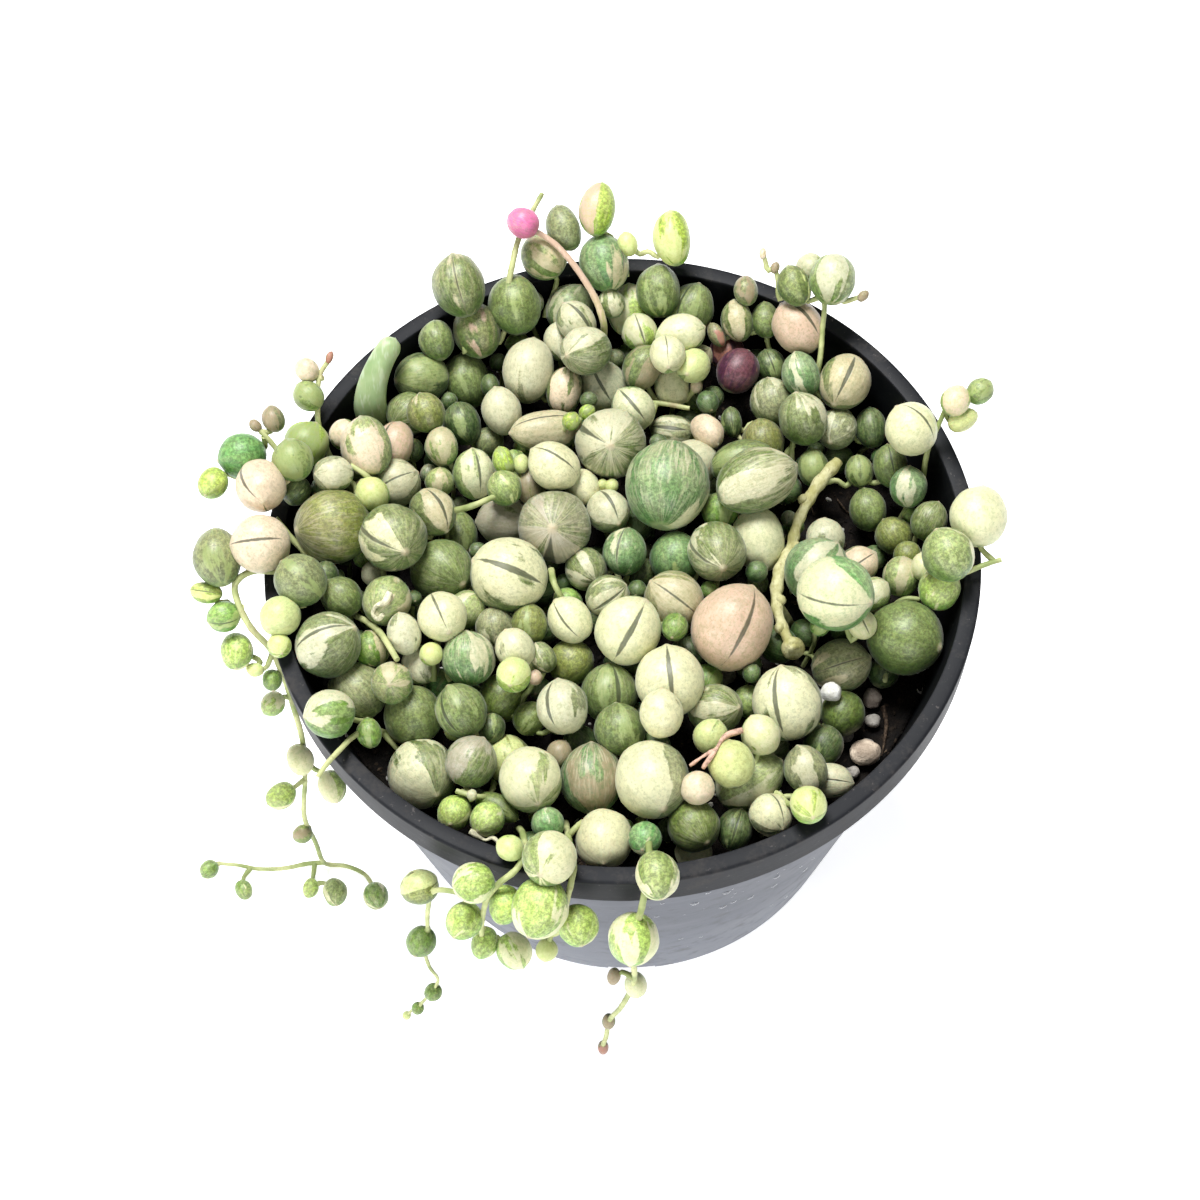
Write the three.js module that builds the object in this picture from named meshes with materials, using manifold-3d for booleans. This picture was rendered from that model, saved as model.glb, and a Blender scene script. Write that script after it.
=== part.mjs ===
// Variegated string-of-pearls plant heaped in a small round nursery pot, in millimetres.
// The middle of the pot's underside is the origin, +Z is up and -Y is the front.
import * as THREE from "three";
import { mergeVertices } from "three/addons/utils/BufferGeometryUtils.js";
import Module from "manifold-3d";

const manifold = await Module();
manifold.setup();
const { Manifold, Mesh } = manifold;

// Pot
const POT_HEIGHT = 78;
const POT_RADIUS = 52.5;
const BASE_RADIUS = 38.5;
const MOUTH_RADIUS = 50;
const RIM_BAND = 7;
const WALL = 1.4;
const FLOOR_THICK = 2.4;
const POT_SIDES = 40;
const EDGE_ROUNDING = 0.7;
const FEET = 6;
const FOOT_SLOT_HEIGHT = 1.8;
const FOOT_SLOT_WIDTH = 8;
const FOOT_SLOT_DEPTH = 4.5;

// Soil
const SOIL_DEPTH = 14;
const SOIL_SIDES = 24;
const SOIL_RINGS = 4;
const SOIL_BUMP = 0.45;
const SOIL_EDGE_FLAT = 1;
const GAP = 0.35;
const HOLE_DEPTH = 5;
const ROOT_DEPTH = 4;
const HOLE_SIDES = 4;
const HOLE_ROOM = 0.9;
const STONE_FINE_WIDTH = 4.5;
const STONE_ROUGHNESS = 0.14;
const STONE_SEED = 31;

// Pearls and stems
const STEM_RADIUS = 0.6;
const LINK_RADIUS = 0.5;
const SPUR_RADIUS = 0.5;
const STEM_SIDES = 3;
const STEM_STEP = 6.5;
const TIP_REACH = 0.6;
const TIP_BALL = 1.06;
const LARGE_WIDTH = 9;
const MIDDLE_WIDTH = 6.8;
const SMALL_WIDTH = 4.2;
const SUNK_IN = 0.5;
const FUSED_VOLUME = 0.4;

// Room between pearls of one bunch, and how they are eased apart
const NEST = 0.45;
const EASE_ROUNDS = 320;
const HELD_ROUNDS = 180;
const EASE_STEP = 0.6;
const PULL_ALONG_SIGHT = 0.01;
const PULL_ACROSS_SIGHT = 0.08;
const NEAR = 0.6;

// Small pearls low in the heap, and how far a joint may reach
const FILLER_TRIES = 2600;
const FILLER_COUNT = 24;
const FILLER_REACH = 5.5;
const FILLER_SEED = 4177;
const GROWN_RADIUS = 44.5;
const ROOT_SPACING = 3.2;
const FOOT_HEIGHT = 0.8;
const ROOT_RINGS = 9;
const WAYS_ROUND = 12;
const DETOURS = [1.5, 2.5, 3.5, 5];
const LINK_CHOICES = 14;
const TIE_SHORTEST = 0.25;

// The heap was measured from in front, looking down: each pearl is listed where that eye sees it
// on a level plane just under the rim, and slides along its line of sight to its own height.
const EYE = new THREE.Vector3(0, -156.1, 351.6);
const READING_PLANE = 74;

// Bare soil, where nothing grows: middle x, middle y, radius
const BARE = [[40, -27, 12], [33, 9, 6], [37, -33, 9]];

// A pearl: x and y as seen, height over the rim, width, length, the way its tip points round
// from +X, the tip's rise, and its look (g grey, t deep, c cream, p pink, y yellow, b bright,
// d shaded, k dried, v purple). A stem: x and y as seen, height over the rim. A root: true x and y.
const BUNCHES = [
  {
    name: "strand_left_back",
    root: [-40, 15],
    stem: [[-44.5, 20, 0], [-46.2, 25, 3.5], [-46.6, 30, 5.5], [-46.4, 34.5, 7], [-45.2, 37, 8]],
    pearls: [
      [-48.5, 35.3, 7.5, 3.4, 3.8, 130, 20, "k"], [-48, 30.4, 6, 4.2, 4.8, 140, 20, "b"],
      [-45.1, 37.6, 8.4, 1.1, 2.2, 70, 20, "k"], [-48, 21.5, 4, 6.4, 6.8, 60, 30, "b"],
    ],
  },
  {
    name: "strand_left_tips",
    root: [-41, 9],
    stem: [[-50, 15.5, 3], [-52.3, 20.5, 5], [-54.5, 23.5, 6.5], [-55.8, 25, 7.2]],
    pearls: [
      [-49, 18.3, 5.6, 5.8, 6.2, 110, 20, "t"], [-53.3, 26.3, 7, 3.2, 4.2, 110, 20, "k"],
      [-56, 25.2, 7.4, 1.6, 2.2, 140, 20, "k"], [-57.6, 19.7, 4.8, 6.6, 6.8, 200, 10, "b"],
      [-61.8, 15, 5, 4.2, 5, 250, 10, "b"], [-54.4, 14.5, 6.4, 7, 9.4, 285, 25, "p"],
      [-49, 13.3, 2.6, 4.2, 4.4, 60, 0, "d"],
    ],
  },
  {
    name: "strand_left_hanging",
    root: [-42.5, -2],
    stem: [
      [-47.5, 1.5, 1.2], [-51, -0.5, 1.3], [-55, -0.5, 2.4], [-57.3, -2.5, 2], [-56.6, -6, 0],
      [-54.5, -10, -2.5], [-51.5, -13.5, -6.5], [-49.3, -18, -12], [-47.6, -23, -20],
      [-46, -28.5, -30], [-45.4, -34, -42], [-45.2, -40, -54], [-43.4, -44, -65],
      [-42.3, -46.7, -74], [-41.5, -47.2, -77.1], [-39, -47.5, -77.1], [-36.4, -48.8, -77.1],
      [-35.2, -50.6, -76.6],
    ],
    pearls: [
      [-54, 4, 5.3, 8, 8.4, 95, 30, "c"], [-60.2, 2, 4, 6.6, 9, 100, 10, "t"],
      [-61.5, -4, 0.8, 3, 5.2, 170, 0, "y"], [-58.6, -8, -1.5, 4.4, 4.8, 200, 10, "b"],
      [-56.3, -13.8, -6, 4.6, 5.8, 275, 0, "y"], [-53.5, -16.9, -8, 2, 2.8, 170, 0, "y"],
      [-50.9, -18.6, -11, 2.8, 3.4, 280, 0, "b"], [-50.6, -22.4, -17, 3.4, 4, 230, -10, "y"],
      [-46.2, -31.2, -31, 4, 5.2, 290, -20, "y"], [-48.6, -36.8, -41, 4, 5.2, 215, 0, "b"],
      [-41.5, -35.5, -36, 4.2, 5.8, 290, 0, "b"], [-45.3, -42.6, -58, 3, 3.4, 200, -20, "g"],
      [-43.8, -50.6, -76.6, 2.6, 3.8, 260, 0, "b"], [-40.4, -51.2, -75.9, 4, 5, 280, 0, "y"],
      [-34.8, -51.9, -75.8, 4.2, 4.8, 290, 0, "b"], [-58, -47.5, -76.4, 3, 3.4, 230, 0, "b"],
      [-53, -50.6, -76.4, 2.8, 3.8, 300, 0, "b"],
    ],
    spur: [
      [-42, -46.9, -76.4], [-44.4, -47, -77.1], [-47.6, -47.6, -77.1], [-51.2, -47.6, -77.1],
      [-54, -47, -77.1], [-56.6, -46.7, -76.9],
    ],
  },
  {
    name: "strand_left_rim",
    pearls: [
      [-41, -5.2, 0.5, 5.6, 6.2, 130, 20, "t"], [-47.7, -2.2, 4.4, 7.2, 7.4, 140, 20, "g"],
      [-50.3, -8.4, 3.7, 5.6, 5.8, 240, 20, "y"], [-50.2, -12.8, 2.4, 3.3, 3.5, 290, 20, "y"],
      [-43.8, -0.9, 0, 3.6, 3.8, 90, 0, "d"],
    ],
  },
  {
    name: "strand_left_big",
    pearls: [
      [-43.5, 5.9, 1.5, 10.6, 11, 200, 20, "t"], [-37.5, 12.3, 1.5, 4.8, 5.2, 130, 20, "y"],
      [-44.2, 16.8, 4.5, 5.2, 6, 200, 30, "c"], [-44.8, 13.2, 2, 3.8, 4, 250, 0, "d"],
      [-36.8, -1.4, -4, 3.6, 3.8, 90, 0, "g"],
      [-33.4, 4.2, 0.8, 9.4, 9.8, 300, 30, "c"], [-28.2, 9, 0, 6.4, 7.6, 130, 30, "b"],
      [-27.3, 14.2, -2, 4.2, 4.2, 90, 20, "b"], [-24.3, 4.6, -5, 5.6, 8.4, 95, 0, "d"],
    ],
  },
  {
    name: "strand_left_crown",
    pearls: [
      [-39.3, 20.3, 3, 7.2, 9.4, 105, 20, "c"], [-43.4, 22.6, 2.2, 4.4, 4.8, 110, 0, "p"],
      [-34.4, 20.9, 0, 5.6, 7.4, 80, 10, "p"], [-34.2, 14.4, -0.5, 7, 7.2, 20, 20, "k"],
      [-31.6, 20, -4.5, 3.4, 3.6, 90, 0, "d"],
    ],
  },
  {
    name: "strand_left_front",
    pearls: [
      [-43, -13.4, -0.6, 9, 9.2, 20, 30, "c"], [-36.7, -13.9, -2.6, 5, 5.2, 110, 20, "c"],
      [-38.3, -20.6, -3.8, 8, 8.4, 130, 20, "g"], [-42.3, -24.2, 3.9, 6.6, 6.8, 100, 40, "y"],
    ],
  },
  {
    name: "strand_front_left_shoot",
    root: [-34, -24],
    stem: [[-37, -27, -2], [-39, -28, 1], [-40.6, -29.8, 2.6], [-42.4, -32, 3.2], [-43.6, -34, 3]],
    pearls: [
      [-36.6, -27.4, -0.6, 3.4, 4.4, 100, 20, "t"], [-33.6, -19.7, -2, 5.8, 6, 270, 60, "y"],
      [-30.3, -25.8, -5.6, 8.2, 8.4, 120, 20, "t"], [-30, -34, -8, 9.6, 10, 300, 20, "c"],
    ],
  },
  {
    name: "strand_back_left_low",
    pearls: [
      [-30.8, 33.4, -5, 7.8, 8.4, 200, 20, "g"], [-34.6, 28, -4, 6.4, 6.6, 230, 20, "t"],
      [-23.6, 32.9, -4, 7.2, 9.2, 100, 20, "c"], [-28.4, 40.2, -3.5, 5.2, 6.4, 100, 20, "b"],
    ],
  },
  {
    name: "strand_back_left_high",
    pearls: [
      [-22.3, 41.9, -0.5, 7.2, 8.8, 100, 20, "b"], [-25, 50.6, 5.5, 7.8, 10, 105, 30, "p"],
      [-13.6, 47.5, -3, 3.4, 3.8, 60, 0, "g"], [-16.2, 46, 0, 7.8, 9.4, 100, 30, "t"],
    ],
  },
  {
    name: "strand_inner_left",
    pearls: [
      [-30, 26.6, -2.4, 5.6, 6, 110, 30, "b"], [-24.1, 24.6, -4.5, 5.6, 7, 110, 20, "d"],
      [-27.3, 20.7, -1, 4.8, 6.2, 100, 20, "c"], [-19.9, 21.2, -7, 4.4, 4.6, 60, 0, "k"],
      [-22.2, 15.4, -3, 6.2, 7.8, 95, 30, "c"],
    ],
  },
  {
    name: "strand_inner_back",
    pearls: [
      [-13.9, 34.6, -3, 7.6, 10.8, 82, 20, "p"], [-18, 26.7, -2.4, 5.8, 7.8, 110, 30, "g"],
      [-20, 31.4, -5.5, 2.8, 4.2, 100, 10, "g"], [-7.9, 30.4, -4, 5.4, 8, 80, 20, "p"],
    ],
  },
  {
    name: "strand_boat",
    root: [-11, 24],
    stem: [[-14, 13, -2.5], [-16.5, 16, 0.4], [-17.2, 18.8, 1.6]],
    pearls: [
      [-11, 22.8, -2, 6.2, 12.4, 192, 10, "p"], [-7.3, 24.6, 1.6, 2.6, 2.8, 60, 20, "y"],
      [-4.4, 25.4, 0.8, 2.3, 2.6, 40, 20, "y"], [-17.7, 17.7, 1.4, 3, 4.8, 110, 20, "b"],
      [-14.9, 17.1, 1, 2.3, 3, 80, 20, "y"], [-17.5, 12.8, 0.8, 5, 5.2, 120, 20, "b"],
      [-13.7, 12.8, -2.6, 4.4, 6.4, 100, 20, "p"],
    ],
  },
  {
    name: "strand_white_star",
    pearls: [
      [-10.1, 16, 0.4, 6.8, 8.2, 150, 20, "c"], [-5.6, 12.8, -1.6, 5, 5.4, 90, 20, "p"],
      [-2.6, 13.1, -1.8, 1.5, 1.6, 100, 20, "y"], [-1.3, 12.8, -1.8, 2, 2.1, 60, 20, "y"],
      [-2.2, 8, -1.6, 6.2, 6.8, 300, 20, "c"],
    ],
  },
  {
    name: "strand_grey_star",
    pearls: [
      [-10, 5.8, -1, 10.4, 10.8, 270, 58, "g"], [-17.6, 7.2, -5.4, 7.2, 8, 180, 0, "t"],
      [-5.2, -1.7, -3.4, 6, 6.6, 300, 20, "b"], [0.3, 1.6, -3.4, 6.2, 7, 80, 20, "c"],
      [3, -2.6, -7.6, 5, 5.2, 60, 0, "d"],
    ],
  },
  {
    name: "strand_dark_pair",
    pearls: [
      [-27, -0.7, -3, 9, 9.4, 315, 20, "d"], [-35.3, -6, 0.2, 6.8, 7.6, 250, 30, "c"],
      [-31.7, -11.8, -1, 4.6, 6.6, 105, 30, "c"], [-30, -6.6, -7, 4.4, 4.6, 60, 0, "d"],
    ],
  },
  {
    name: "strand_cream_left",
    pearls: [
      [-16.4, -2.7, -1.2, 10.6, 11, 165, 25, "p"], [-22.8, -7.6, -2.4, 5.4, 5.6, 40, 40, "b"],
      [-14, -10.1, -3, 5.2, 6, 85, 30, "g"], [-19, -10.9, -2, 5.4, 6, 95, 30, "c"],
    ],
  },
  {
    name: "strand_white_left",
    pearls: [
      [-26.2, -9.6, 0.6, 6.8, 7.2, 290, 20, "c"], [-22.8, -15.6, -1.2, 7.4, 7.6, 95, 30, "c"],
      [-28, -15, 0.2, 3.2, 3.4, 240, 30, "y"], [-29.7, -17, -3, 5.2, 5.6, 110, 20, "g"],
      [-26.8, -20, -7.5, 4.4, 4.6, 60, 0, "d"],
    ],
  },
  {
    name: "strand_young_front",
    pearls: [
      [-15.8, -14.4, -0.6, 5.4, 6, 120, 30, "c"], [-16, -18.7, 1, 4.7, 5.4, 260, 30, "b"],
      [-11.8, -16, -2.8, 3.6, 4.8, 120, 20, "c"], [-17.6, -22.6, -5.6, 6.8, 7, 60, 0, "d"],
      [-12.9, -19.2, -3, 2, 2.2, 90, 20, "k"],
    ],
  },
  {
    name: "strand_front_middle",
    pearls: [
      [-7.8, -10, -2, 6, 7.2, 130, 20, "p"], [-7.6, -17, -6, 6.4, 6.6, 60, 0, "d"],
      [-9, -24, -2.6, 7, 7.8, 100, 20, "c"], [-13.8, -25.6, -6.4, 4.6, 5, 60, 0, "d"],
    ],
  },
  {
    name: "strand_cream_middle",
    pearls: [
      [-2.2, -6.3, -2.2, 6, 6.4, 20, 30, "c"], [0.9, -12.7, -0.6, 9, 10, 50, 40, "c"],
      [7.5, -6.9, -3, 8, 8.6, 150, 30, "k"], [7.5, -11.5, -0.4, 3.6, 4.6, 260, 20, "b"],
    ],
  },
  {
    name: "strand_dark_front",
    pearls: [
      [-2.2, -21.9, -4, 8, 8.2, 90, 30, "t"], [-1.2, -27.9, -5.4, 7, 7.2, 100, 20, "g"],
      [-9.6, -31.2, -5, 3.4, 3.8, 60, 20, "g"], [-4.5, -34.8, -6, 8.6, 10, 90, 20, "t"],
    ],
  },
  {
    name: "strand_front_heap",
    pearls: [
      [-13.4, -35.4, -3.6, 8.4, 9.8, 285, 20, "c"], [-3.4, -44.4, -4.2, 7.6, 8.8, 270, 20, "c"],
      [-10.9, -41.8, -4.4, 4.4, 4.6, 100, 20, "b"], [-15, -43, -8, 3.4, 3.6, 60, 0, "d"],
    ],
  },
  {
    name: "strand_front_left_leaf",
    root: [-19, -30.5],
    stem: [[-19.8, -37.6, -5], [-21.8, -37.4, -4], [-24, -36.6, -4]],
    pearls: [
      [-18.2, -39.2, -6, 3.4, 8, 330, 0, "d"], [-19.6, -41, -4, 4.6, 5, 240, 20, "b"],
      [-25.2, -41.8, -5.2, 4.7, 5, 260, 30, "c"], [-21.8, -37.3, -2.6, 1.4, 1.6, 90, 20, "k"],
      [-23.4, -23.6, -3, 7, 7.8, 120, 20, "g"], [-22.7, -32.4, -5.6, 7, 7.2, 60, 20, "p"],
      [-16.8, -32, -8, 6.6, 7, 100, 20, "y"], [-19, -27, -7, 4, 4.4, 80, 0, "g"],
    ],
  },
  {
    name: "strand_front_left_hanging",
    root: [-16, -39],
    stem: [
      [-14.6, -43.6, -1.5], [-14.4, -46.4, 1.2], [-15.6, -48.6, 1.4], [-18, -50.6, 0.2],
      [-19.6, -53, -4], [-20.2, -56, -10], [-20.2, -58, -15],
    ],
    pearls: [
      [-16.4, -45.4, 2.4, 3.4, 3.8, 160, 20, "b"], [-21.4, -50.4, 0.4, 5.4, 5.6, 200, 20, "y"],
      [-17, -53.6, -3.4, 4.2, 5.8, 260, 0, "y"], [-22.6, -55.8, -9, 4.8, 5.4, 240, 0, "b"],
      [-19.8, -59, -16.5, 3.6, 4.8, 250, -20, "b"], [-15.8, -60.2, -17, 4.8, 5.4, 300, -20, "y"],
      [-28.8, -50.8, -10.5, 4.8, 5.4, 200, 0, "y"], [-28.4, -58.6, -27, 4.2, 4.6, 250, 0, "b"],
    ],
    spur: [[-19.6, -53, -4], [-24, -51.6, -6], [-26.8, -51.4, -9], [-27.6, -54, -16], [-27.6, -57, -24]],
  },
  {
    name: "strand_front_overhang",
    root: [-9, -38],
    stem: [[-8, -46, 0.4], [-7.6, -48.2, 1.7], [-8, -50.6, 1.7], [-8.6, -53.2, -0.8], [-8.8, -56, -7]],
    pearls: [
      [-11, -47, 4.4, 7, 7.2, 250, 30, "c"], [-12.3, -54.2, 0.2, 7.4, 8.4, 250, 0, "b"],
      [-7.1, -56.8, -5.4, 5.4, 5.6, 280, 0, "y"], [-11.4, -60.2, -15, 3, 3.2, 260, -20, "b"],
    ],
  },
  {
    name: "strand_front_hanging",
    root: [1.5, -38],
    stem: [
      [2.6, -43, -4], [2.8, -46, 1], [2.8, -48.4, 1.7], [2.2, -51.6, 1.5], [1.6, -54.4, -1.4],
      [0.6, -58, -9], [0.3, -62, -20], [0.2, -65.2, -34], [-1.4, -68.2, -43], [-3.1, -70.2, -53],
      [-3.6, -72.4, -61], [-4, -73.4, -65],
    ],
    pearls: [
      [2.3, -44.4, -1.4, 4.4, 4.8, 260, 30, "b"], [3.9, -49.9, 4, 5.6, 6.8, 280, 0, "c"],
      [0.4, -58.9, -7.4, 6.8, 7, 260, -20, "c"], [0.5, -65.4, -35.6, 3.2, 4.8, 280, -60, "g"],
      [-2.4, -64.1, -31, 1.9, 3, 250, -50, "k"], [-3.2, -70.3, -53.6, 2, 3, 260, -60, "g"],
      [-4, -73.8, -67, 1.7, 4.4, 260, -80, "k"],
    ],
  },
  {
    name: "strand_front_big",
    pearls: [
      [3.4, -35.6, -3.2, 10, 11.6, 285, 20, "c"], [9.8, -37, 0, 4.5, 4.7, 240, 30, "p"],
      [9, -42.8, -5.6, 7, 7.2, 300, 20, "t"], [9, -46.6, -8.2, 5, 5.2, 330, 0, "g"],
    ],
  },
  {
    name: "strand_front_rings",
    pearls: [
      [14.7, -33.5, 0, 6.2, 6.4, 95, 20, "y"], [17.8, -36, -5.4, 8, 10.6, 30, 10, "g"],
      [12, -29, -3, 4.8, 5, 60, 30, "y"], [19.2, -29, -1.4, 5.2, 5.8, 120, 30, "c"],
      [14.8, -43.4, -7, 5, 6, 70, 20, "d"],
    ],
  },
  {
    name: "strand_front_right",
    pearls: [
      [24.4, -34.6, -5.6, 5.8, 6.8, 110, 20, "g"], [25.2, -39.9, 3, 4.8, 5.6, 280, 30, "y"],
      [20, -41.8, -4, 5.7, 5.9, 300, 20, "c"], [29.2, -37.4, -6.4, 4.8, 7, 350, 10, "p"],
      [27.9, -30.8, -8.6, 5.6, 5.8, 60, 0, "d"],
    ],
  },
  {
    name: "strand_front_slits",
    pearls: [
      [6.2, -20, -1.6, 9.4, 9.8, 95, 20, "c"], [5.2, -25.3, 0.2, 5.8, 6.8, 90, 30, "c"],
      [12.6, -24.8, -3.6, 7, 8.2, 345, 35, "t"],
    ],
  },
  {
    name: "strand_right_slit",
    pearls: [
      [23, -24.4, -2.4, 9.6, 10.6, 100, 30, "c"], [17.4, -23.8, -7, 4.4, 4.6, 60, 0, "g"],
      [30.8, -26.2, -8.4, 6.2, 6.4, 60, 0, "d"], [31.9, -18.1, -7.4, 7.6, 8.6, 10, 20, "t"],
    ],
  },
  {
    name: "strand_blush",
    pearls: [
      [15.8, -11.8, -1, 11, 12.6, 60, 25, "p"], [13.8, 0.9, -1.6, 8.2, 9.8, 280, 30, "g"],
      [7.9, 0.6, -4, 7.4, 7.8, 90, 20, "t"],
    ],
  },
  {
    name: "strand_yellow",
    pearls: [
      [21.2, 3.4, -2.2, 7.6, 10, 100, 30, "y"], [14.7, 8, -2.4, 5.3, 5.5, 90, 20, "b"],
      [20.4, 12.2, 0.4, 9, 13, 22, 5, "g"], [18.6, 16.6, -3.6, 6.4, 11, 10, 0, "b"],
    ],
  },
  {
    name: "strand_largest",
    pearls: [
      [6.8, 12, -1, 12, 13.2, 80, 10, "t"], [11, 16.4, -4.6, 7.6, 9, 30, 10, "c"],
      [8.2, 22.2, -7, 5.2, 7.2, 170, 0, "g"], [13.3, 21.6, -4, 4.4, 6.8, 300, 10, "k"],
    ],
  },
  {
    name: "strand_tall_star",
    root: [3, 32],
    stem: [[4.8, 27.6, -4.5], [7.4, 27.3, -3.6], [11, 26.4, -3.4]],
    pearls: [
      [-1.4, 20.2, -0.4, 10.2, 11.2, 270, 55, "g"], [2.4, 26.8, -3.4, 6.2, 7.2, 130, 20, "c"],
      [-2.4, 31.1, -3, 7.4, 8.2, 120, 20, "c"],
    ],
  },
  {
    name: "strand_back_cluster",
    pearls: [
      [-7.6, 46, -1.6, 7.2, 7.8, 60, 30, "c"], [-4.8, 43.6, 0.6, 5.8, 6.8, 130, 30, "c"],
      [-8.9, 40, -3.4, 4.4, 6.6, 100, 20, "p"], [-4.9, 37.3, -1.2, 7.2, 8.2, 220, 30, "c"],
      [-10.8, 56.4, 4.6, 6.8, 7.2, 140, 20, "t"], [-8.6, 61, 7, 5, 8, 110, 20, "g"],
    ],
  },
  {
    name: "strand_back_rim",
    pearls: [
      [-1.6, 54, 4.6, 7.4, 9.2, 100, 20, "t"], [-2.7, 65.2, 9.4, 5.4, 9.2, 80, 20, "b"],
      [-0.7, 47.2, 0.4, 4.2, 4.4, 100, 20, "g"], [2.2, 45, -1, 7.2, 8.4, 95, 30, "c"],
      [1.9, 58, 6.4, 3, 4, 110, 30, "y"],
      [6.9, 48.4, 0.8, 6.6, 8.6, 92, 30, "b"], [9.2, 59.2, 7.6, 5.6, 9.6, 95, 20, "b"],
      [11.8, 45.3, 0, 7, 8.8, 70, 30, "p"],
    ],
  },
  {
    name: "strand_back_inner",
    pearls: [
      [4, 40.4, -0.6, 5.4, 5.8, 110, 30, "c"], [9.8, 40.6, -2.2, 6, 8.4, 10, 20, "c"],
      [3.5, 34.4, -2.6, 5.8, 7.2, 60, 30, "c"], [8.2, 37, 0.4, 5.2, 6.6, 275, 20, "p"],
      [11.9, 34.3, -0.6, 5, 6.4, 250, 30, "y"], [8.3, 30.2, -2.6, 5.2, 6.6, 95, 30, "p"],
      [12.2, 30.4, -3, 1.8, 2.2, 90, 20, "k"],
    ],
  },
  {
    name: "strand_back_right",
    pearls: [
      [19, 42.6, -0.8, 4.8, 7, 100, 20, "p"], [20.7, 48.4, 2.6, 3.6, 4.8, 95, 20, "p"],
      [23.8, 42.8, -0.6, 4.2, 6, 95, 20, "b"], [15.5, 40.2, -3.4, 2.4, 4.6, 120, 20, "k"],
      [23.8, 33.9, -4.4, 4.6, 5.4, 110, 20, "d"],
    ],
  },
  {
    name: "strand_right_shoot",
    root: [30, 30],
    stem: [
      [31, 32, -2], [31.8, 36, 0.8], [32.4, 41, 3.4], [33, 45, 5.6], [32.8, 47, 6.6],
    ],
    pearls: [
      [28.2, 40.6, 1.4, 7.2, 9, 130, 20, "c"], [34.6, 50.2, 9, 6.8, 7.8, 80, 20, "p"],
      [28.4, 49, 7, 4.8, 6.8, 110, 20, "b"], [39.2, 46.8, 7.4, 1.4, 2.2, 40, 20, "k"],
      [31.2, 52.4, 6.4, 4.4, 4.8, 90, 20, "b"], [25.6, 52.8, 8.6, 1.3, 2, 70, 20, "k"],
      [23.8, 55.6, 9.6, 1.1, 2, 90, 20, "k"],
    ],
  },
  {
    name: "strand_right_back",
    pearls: [
      [35.3, 30.7, -2, 7.6, 9.2, 60, 40, "c"], [29, 32.2, -2, 5.6, 7.2, 110, 30, "c"],
      [33.4, 22, -5, 5.8, 7.8, 250, 20, "g"], [38.5, 22, -6, 4.6, 6.8, 95, 20, "d"],
    ],
  },
  {
    name: "strand_right_inner",
    root: [26.5, 21.5],
    stem: [[26.2, 16.4, -7], [26.3, 18.6, -4.6], [26.8, 21, -3]],
    pearls: [
      [28.4, 24.4, -2.6, 7, 8.2, 110, 40, "b"], [23.6, 27.4, -4.6, 6.4, 7.6, 100, 20, "p"],
      [22, 19.9, -4.6, 6.2, 7.2, 100, 20, "k"], [17.3, 23.6, -6, 3.2, 5.2, 95, 20, "d"],
    ],
  },
  {
    name: "strand_right_rim_shoot",
    root: [42, 9],
    stem: [[45.6, 12.6, -3.2], [46.4, 16, 0], [47.4, 19.2, 2.4], [49, 22.4, 4.4], [50.2, 25, 6]],
    pearls: [
      [44.7, 21.6, 4.3, 7.4, 7.8, 130, 30, "c"], [52, 26.4, 8, 4.2, 4.6, 60, 20, "p"],
      [52.6, 23.2, 6.4, 3.2, 5, 25, 10, "y"], [55.8, 28.2, 9, 3.6, 4.2, 40, 20, "b"],
      [43.4, 11.3, -2, 5.4, 6, 85, 30, "p"],
    ],
  },
  {
    name: "strand_right_small",
    pearls: [
      [29.3, 15, -5.4, 4.6, 6, 95, 20, "t"], [36.2, 14.3, -7, 4.2, 5, 95, 20, "g"],
      [41, 15, -5, 5, 7.2, 100, 20, "t"], [37, 7.5, -8.6, 5.4, 6.8, 100, 20, "d"],
      [40.6, 2.8, -7, 5.4, 5.6, 125, 20, "d"], [46, 5.3, -4, 5.2, 6.2, 60, 30, "g"],
    ],
  },
  {
    name: "strand_right_rim",
    root: [40.5, 0],
    stem: [[49.6, -4, 1.4], [51.5, -3.2, 2.2], [54, -2.2, 2.8], [56, -1.6, 3]],
    pearls: [
      [48.2, -0.8, 4.4, 7.2, 7.6, 120, 30, "c"], [53.4, 5.8, 5.6, 8, 8.6, 80, 20, "c"],
      [46.8, -6.7, -0.6, 5.8, 6.2, 60, 50, "c"], [44.4, -2.6, -2.4, 3.6, 4.4, 100, 20, "p"],
      [41.1, -4, -4.2, 5.2, 6, 80, 20, "p"], [42.2, -0.4, -6.4, 4, 4.2, 90, 0, "g"],
    ],
  },
  {
    name: "strand_right_white",
    pearls: [
      [31.4, -6.8, -0.4, 10.2, 10.8, 330, 20, "c"], [27.3, -2.8, -2.6, 9, 9.4, 45, 30, "c"],
      [30.3, 2.6, -5.4, 5.6, 6.2, 90, 20, "k"], [34.8, -2, -4.2, 5.4, 6.2, 30, 20, "p"],
      [37, -7.5, -2.6, 4.6, 5.2, 30, 20, "c"], [35.2, -11.6, -0.6, 4, 4.4, 120, 30, "y"],
    ],
  },
  {
    name: "strand_right_big",
    root: [38, -8.5],
    stem: [[41, -7.8, -5.2], [43.4, -7.9, -5]],
    pearls: [
      [41.2, -14.2, -4.8, 10.4, 10.8, 330, 20, "b"], [37.4, -19.4, -9.4, 4.4, 4.8, 60, 0, "d"],
    ],
  },
];

// Purple pearls, one old and one behind it
const PURPLE = [[18.9, 33, -3.4, 6.2, 7.2, 60, 20, "v"], [17.2, 36.6, -5.4, 5.4, 6, 110, 20, "v"]];

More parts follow.
